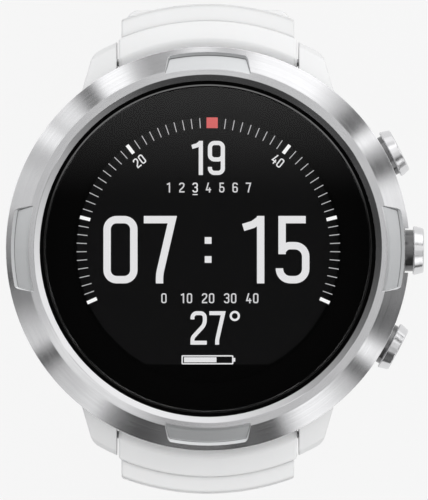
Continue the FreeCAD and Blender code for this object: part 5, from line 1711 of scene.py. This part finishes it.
# ---------------------------------------------------------------- studio
@dataclass(frozen=True)
class Studio:
    """Camera, floor and the soft surroundings with their light cards and dark flags."""

    pale: float = 0.965
    camera_place: tuple[float, float, float] = (0.807, -0.164, 1090.0)
    lens: float = 550.0
    sensor: float = 36.0
    floor_half: float = 1500.0
    paper: Pair = (0.62, 0.58)
    fibre_scale: float = 0.3
    cards: tuple[Pair, ...] = (
        (0, 0.97), (4, 0.62), (8, 0.62), (12, 0.85), (15, 1.26), (24, 1.30), (33, 1.36), (38, 0.95),
        (41, 0.75), (44, 0.42), (47, 0.06), (51.5, 0.03), (53.5, 1.0), (56, 1.42), (58, 0.8), (61, 0.34),
        (63, 0.05), (66.5, 0.05), (69, 0.7), (72, 1.04), (79, 0.98), (83, 0.5), (86, 0.05), (90, 0.1),
        (100, 0.14), (104, 0.16), (110, 0.06), (115, 0.08), (118, 0.4), (121, 1.2), (124, 1.2), (126, 0.4),
        (128, 0.06), (130, 0.1), (133, 0.6), (137, 0.8), (142, 1.15), (150, 1.25), (154, 0.9), (157, 0.45),
        (159, 0.08), (162, 0.06), (168, 0.1), (172, 0.04), (176, 0.12), (192, 0.12), (196, 0.05),
        (201, 0.02), (206, 0.1), (211, 0.4), (216, 0.98), (222, 0.8), (230, 0.66), (233, 0.4), (235, 0.04),
        (237, 0.06), (241, 0.85), (246, 0.70), (254, 0.26), (258, 0.19), (262, 0.05), (266, 0.2),
        (270, 0.25), (278, 0.38), (282, 0.7), (292, 0.76), (298, 0.6), (301, 0.7), (304, 1.2), (307, 1.2),
        (309, 0.7), (312, 0.98), (316, 1.05), (319, 0.5), (321, 0.1), (324, 0.1), (327, 1.35),
        (334, 1.36), (338, 0.6), (343, 0.34), (348, 0.40), (352, 0.65), (356, 0.99), (360, 0.97),
    )
    card_scale: float = 2.0
    card_light: float = 1.3
    crown: tuple[Pair, ...] = (
        (0, 0.93), (12, 0.95), (15, 0.79), (165, 0.81), (176, 0.74), (184, 0.62), (192, 0.5), (196, 0.62),
        (202, 0.95), (208, 1.28), (238, 1.28), (244, 1.08), (250, 0.84), (256, 0.68), (262, 0.64),
        (268, 0.7), (280, 0.79), (342, 0.79), (345, 0.93), (360, 0.93),
    )
    sweep_direction: float = 40.0
    sweep_power: float = 2.0
    sweep_light: float = 1.25
    sweep_shade: float = 0.075
    sweep_edge: Pair = (10.0, 6.0)
    card_edge: Pair = (58.0, 44.0)
    crown_edge: Pair = (64.0, 73.0)
    dome_rise: tuple[float, float, float] = (0.22, 0.70, 0.0)
    dome_middle: float = 0.78
    opening_edge: Pair = (0.036, 0.046)
    gleam: tuple[float, float, float, float] = (0.006, 0.024, 0.025, 0.75)
    floor_share: float = 0.9
    backdrop: float = 0.922
    soft_foot: float = 0.18
    soft_top: float = 1.06
    soft_height: float = 0.55
    soft_rise: tuple[float, float, float] = (0.36, 0.36, 0.0)

    def camera(self) -> None:
        """Camera straight above the glass, with 12 o'clock at the top."""
        lens = bpy.data.cameras.new("camera")
        lens.lens, lens.sensor_width = self.lens, self.sensor
        lens.clip_start, lens.clip_end = 0.1, 10.0
        made = linked("camera", lens)
        made.location = [part * MM for part in self.camera_place]
        bpy.context.scene.camera = made

    def floor(self) -> None:
        """Pale floor that the strap stands on, clear when seen from below."""
        solid = Solid()
        corners = rectangle((-self.floor_half,) * 2, (self.floor_half,) * 2)
        solid.add(np.column_stack([corners[[0, 1, 3, 2]], np.zeros(4)]), [[0, 1, 3, 2]])
        made = solid.build("floor")
        material = bpy.data.materials.new("floor_paper")
        material.use_nodes = True
        material.cycles.emission_sampling = "NONE"
        graph = Graph(material.node_tree)
        fibre = graph.noise(graph.place(), self.fibre_scale)
        matt = graph.out("BsdfDiffuse", Color=graph.blend(fibre, *(grey(level) for level in self.paper)))
        glow = graph.out("Emission", Color=grey(self.pale), Strength=1.0)
        mirrored = graph.node("LightPath").outputs["Is Glossy Ray"]
        shown = graph.maths("MAXIMUM", self.seen(graph), mirrored)
        upper = graph.mixed(graph.times(shown, self.floor_share), matt, glow)
        below = graph.node("NewGeometry").outputs["Backfacing"]
        clear = graph.out("BsdfTransparent", Color=(1, 1, 1))
        graph.node("OutputMaterial", Surface=graph.mixed(below, upper, clear))
        made.data.materials.append(material)
        made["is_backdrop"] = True

    def seen(self, graph: Graph) -> Socket:
        """1 for rays that see the background as it is."""
        path = graph.node("LightPath").outputs
        return graph.maths("MAXIMUM", path["Is Camera Ray"], path["Is Transmission Ray"])

    def ring(self, graph: Graph, way: Socket, levels: tuple[Pair, ...]) -> Socket:
        """Level by the direction from 12 o'clock, in straight runs between the given levels.

        Args:
            graph: Node tree to add to.
            way: Direction seen.
            levels: Direction in degrees and level of each corner of the line.

        Returns:
            The level.
        """
        turn = graph.maths("ARCTAN2", graph.part(way, "X"), graph.part(way, "Y"))
        share = graph.maths("FRACT", graph.plus(graph.maths("DIVIDE", turn, 2 * math.pi), 1.0))
        curve = graph.node("FloatCurve", Value=share)
        line = curve.mapping.curves[0]
        for _ in levels[2:]:
            line.points.new(0.5, 0.5)
        for point, (angle, level) in zip(line.points, levels):
            point.location = (angle / 360, level / self.card_scale)
            point.handle_type = "VECTOR"
        curve.mapping.update()
        return graph.times(curve.outputs[0], self.card_scale)

    def sweep(self, graph: Graph, way: Socket) -> Socket:
        """Level close to the horizon: one broad lobe about its brightest direction.

        It is a power of half of one plus the cosine of the angle from that direction.

        Args:
            graph: Node tree to add to.
            way: Direction seen.

        Returns:
            The level.
        """
        turn = math.radians(self.sweep_direction)
        cosine = graph.number("DOT_PRODUCT", way, (math.sin(turn), math.cos(turn), 0.0))
        lobe = graph.maths("POWER", graph.fit(cosine, -1.0, 1.0), self.sweep_power)
        return graph.plus(graph.times(lobe, self.sweep_light), self.sweep_shade)

    def slope(self, graph: Graph, way: Socket, rise: tuple[float, float, float], middle: float) -> Socket:
        """Level that rises evenly along a direction, from its level in the middle."""
        return graph.plus(graph.number("DOT_PRODUCT", way, rise), middle)

    def world(self) -> None:
        """Soft surroundings: cards around the horizon, a dome brighter towards 12 o'clock, and a
        dark opening straight above, which the glass mirrors."""
        world = bpy.data.worlds.new("studio")
        bpy.context.scene.world = world
        world.use_nodes = True
        world.cycles.sampling_method = "NONE"
        graph = Graph(world.node_tree)
        way = graph.node("TexCoord").outputs["Generated"]
        up = graph.part(way, "Z")
        around = self.slope(graph, way, self.dome_rise, self.dome_middle)
        for edge, layer in (
            (self.crown_edge, self.ring(graph, way, self.crown)),
            (self.card_edge, graph.times(self.ring(graph, way, self.cards), self.card_light)),
            (self.sweep_edge, self.sweep(graph, way)),
        ):
            share = graph.fit(up, *(math.sin(math.radians(angle)) for angle in edge))
            around = graph.blend(share, around, layer)
        gleam = graph.fit(graph.part(way, "Y"), *self.gleam)
        around = graph.blend(graph.fit(graph.radius(way), *self.opening_edge), gleam, around)
        height = graph.fit(up, 0.0, self.soft_height, self.soft_foot, self.soft_top)
        soft = graph.times(self.slope(graph, way, self.soft_rise, 1.0), height)
        scattered = graph.maths("GREATER_THAN", graph.node("LightPath").outputs["Diffuse Depth"], 0.5)
        lit = graph.out("Background", Color=graph.blend(scattered, around, soft), Strength=1.0)
        shown = graph.out("Background", Color=grey(self.backdrop), Strength=1.0)
        graph.node("OutputWorld", Surface=graph.mixed(self.seen(graph), lit, shown))

    def build(self) -> None:
        """Camera, floor and surroundings, shown without any toning."""
        bpy.context.scene.view_settings.view_transform = "Standard"
        self.camera()
        self.floor()
        self.world()


# ---------------------------------------------------------------- whole object
def finishes() -> dict[str, bpy.types.Material]:
    """Materials by the record's material slot.

    Returns:
        Slot name and material.
    """
    along, turned, scattered = Grain.ALONG_X, Grain.TURNED, Grain.SCATTERED
    made = {
        "bezel_steel": BezelMetal("bezel_brushed", (0.62, 0.62, 0.63), 0.21, turned, 0.07, 1.0, 0.0012, 0.1),
        "back_steel": Metal("back_brushed", (0.62, 0.62, 0.63), 0.32, along, 0.1, 0.0, 0.002),
        "buckle_steel": Metal("buckle_brushed", (0.72, 0.72, 0.73), 0.28, along, 0.08, 0.0, 0.002, 0.2),
        "fastener_steel": Metal("fastener_steel", (0.6, 0.6, 0.61), 0.3, scattered, 0.1),
        "spring_steel": Metal("spring_wire", (0.5, 0.5, 0.51), 0.35, scattered, 0.06, edge_radius=0.03),
        "cell_steel": Metal("cell_can", (0.66, 0.66, 0.66), 0.25, turned, 0.1),
        "shield_tin": Metal("shield_tin", (0.68, 0.69, 0.68), 0.4, scattered, 0.3),
        "tungsten": Metal("weight_tungsten", (0.35, 0.35, 0.36), 0.45, scattered, 0.08),
        "gold_contact": Metal("contact_gold", (0.9, 0.68, 0.28), 0.22, turned, 0.06),
        "brass_plate": Metal("sounder_brass", (0.75, 0.6, 0.32), 0.32, scattered, 0.15),
        "glass": Glass(),
        "white_polymer": Moulded(
            "case_white", (0.92, 0.923, 0.926), 0.38, 0.12, 0.004, 0.02, 0.3, crevice=0.5, upper_lean=1.0
        ),
        "black_polymer": Moulded("inner_black", (0.012, 0.012, 0.013), 0.5, 0.2, 0.01),
        "white_plunger": Moulded("plunger_white", (0.78, 0.78, 0.75), 0.4, 0.1, 0.004),
        "clear_guide": Moulded("guide_clear", (0.8, 0.84, 0.88), 0.15, 0.4, 0.003),
        "display_black": PanelFace(),
        "flex_amber": Moulded("flex_amber", (0.5, 0.22, 0.03), 0.3, 0.3, 0.004, 0.2),
        "board_green": Board(),
        "black_rubber": Moulded("seal_rubber", (0.002, 0.002, 0.002), 0.7, 0.1, 0.008, 0.1, 0.1, 0.01),
        "strap_rubber": StrapRubber(
            "strap_silicone", (0.93, 0.933, 0.936), 0.46, 0.11, 0.004, 0.015, 0.12, 0.4, 0.1, 0.12, 0.5, 0.5
        ),
    }
    return {slot: finish.build() for slot, finish in made.items()}


def dress_cad(frame: dict, materials: dict[str, bpy.types.Material]) -> int:
    """Gives every CAD node the material of its slot; each button's steel is turned about its own
    axis.

    Args:
        materials: Materials by slot.

    Returns:
        How many nodes were dressed.
    """
    steel = ((0.70, 0.70, 0.71), 0.16, Grain.TURNED, 0.09, 0.0, 0.004, 0.12)
    buttons = {
        name: ButtonMetal(f"{name}_button_turned", *steel, axis_angle=angle).build()
        for name, angle in {"upper": 27.3, "middle": -0.5, "lower": -28.0}.items()
    }
    for name, node in frame["nodes"].items():
        for place in node.material_slots:
            slot = place.material.name
            place.material = buttons[name.split("_")[0]] if slot == "pusher_steel" else materials[slot]
    return len(frame["nodes"])


def corners() -> dict[str, list[float]]:
    """Lowest and highest corner of everything shown, as plain numbers."""
    low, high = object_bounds()
    return {"low": [float(v) for v in low], "high": [float(v) for v in high]}


def main() -> None:
    """Loads the frame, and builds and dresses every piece."""
    logging.basicConfig(level=logging.INFO, format="%(message)s")
    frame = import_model()
    materials = finishes()
    LOG.info("dressed %d CAD nodes", dress_cad(frame, materials))
    form = StrapForm()
    rubber = materials["strap_rubber"]
    pieces = [
        ShortStrap("strap_short", 1.0, form, rubber).build(),
        LongStrap("strap_long", -1.0, form, rubber).build(),
        Keeper("fixed_keeper", "strap_short", 43.0, 55.0, 0.05, form, rubber).build(),
        Keeper("sliding_keeper", "sliding_keeper", 57.0, 69.0, 0.25, form, rubber).build(),
    ]
    pieces += [
        ReturnSpring(joint, seat, frame["nodes"][seat["node"]], materials["spring_steel"]).build()
        for joint in frame["joints"]
        for seat in joint.get("deforming_nodes", [])
    ]
    display = Display(
        white=LitInk("lit_white", (0.80, 0.80, 0.81)).build(),
        bright=LitInk("lit_bright", (0.98, 0.98, 0.98)).build(),
        dim=LitInk("lit_dim", (0.66, 0.66, 0.67)).build(),
        faint=LitInk("lit_faint", (0.5, 0.5, 0.51)).build(),
        red=LitInk("lit_red", (0.67, 0.135, 0.13)).build(),
        black=Moulded("print_black", (0.0012, 0.0012, 0.0012), 0.6, 0.2, 0.001, 0.1, 0.02, 0.0).build(),
    )
    pieces += display.build()
    for piece in pieces:
        LOG.info("%s: %d faces", piece.name, len(piece.data.polygons))
    Studio().build()


if __name__ == "__main__":
    main()
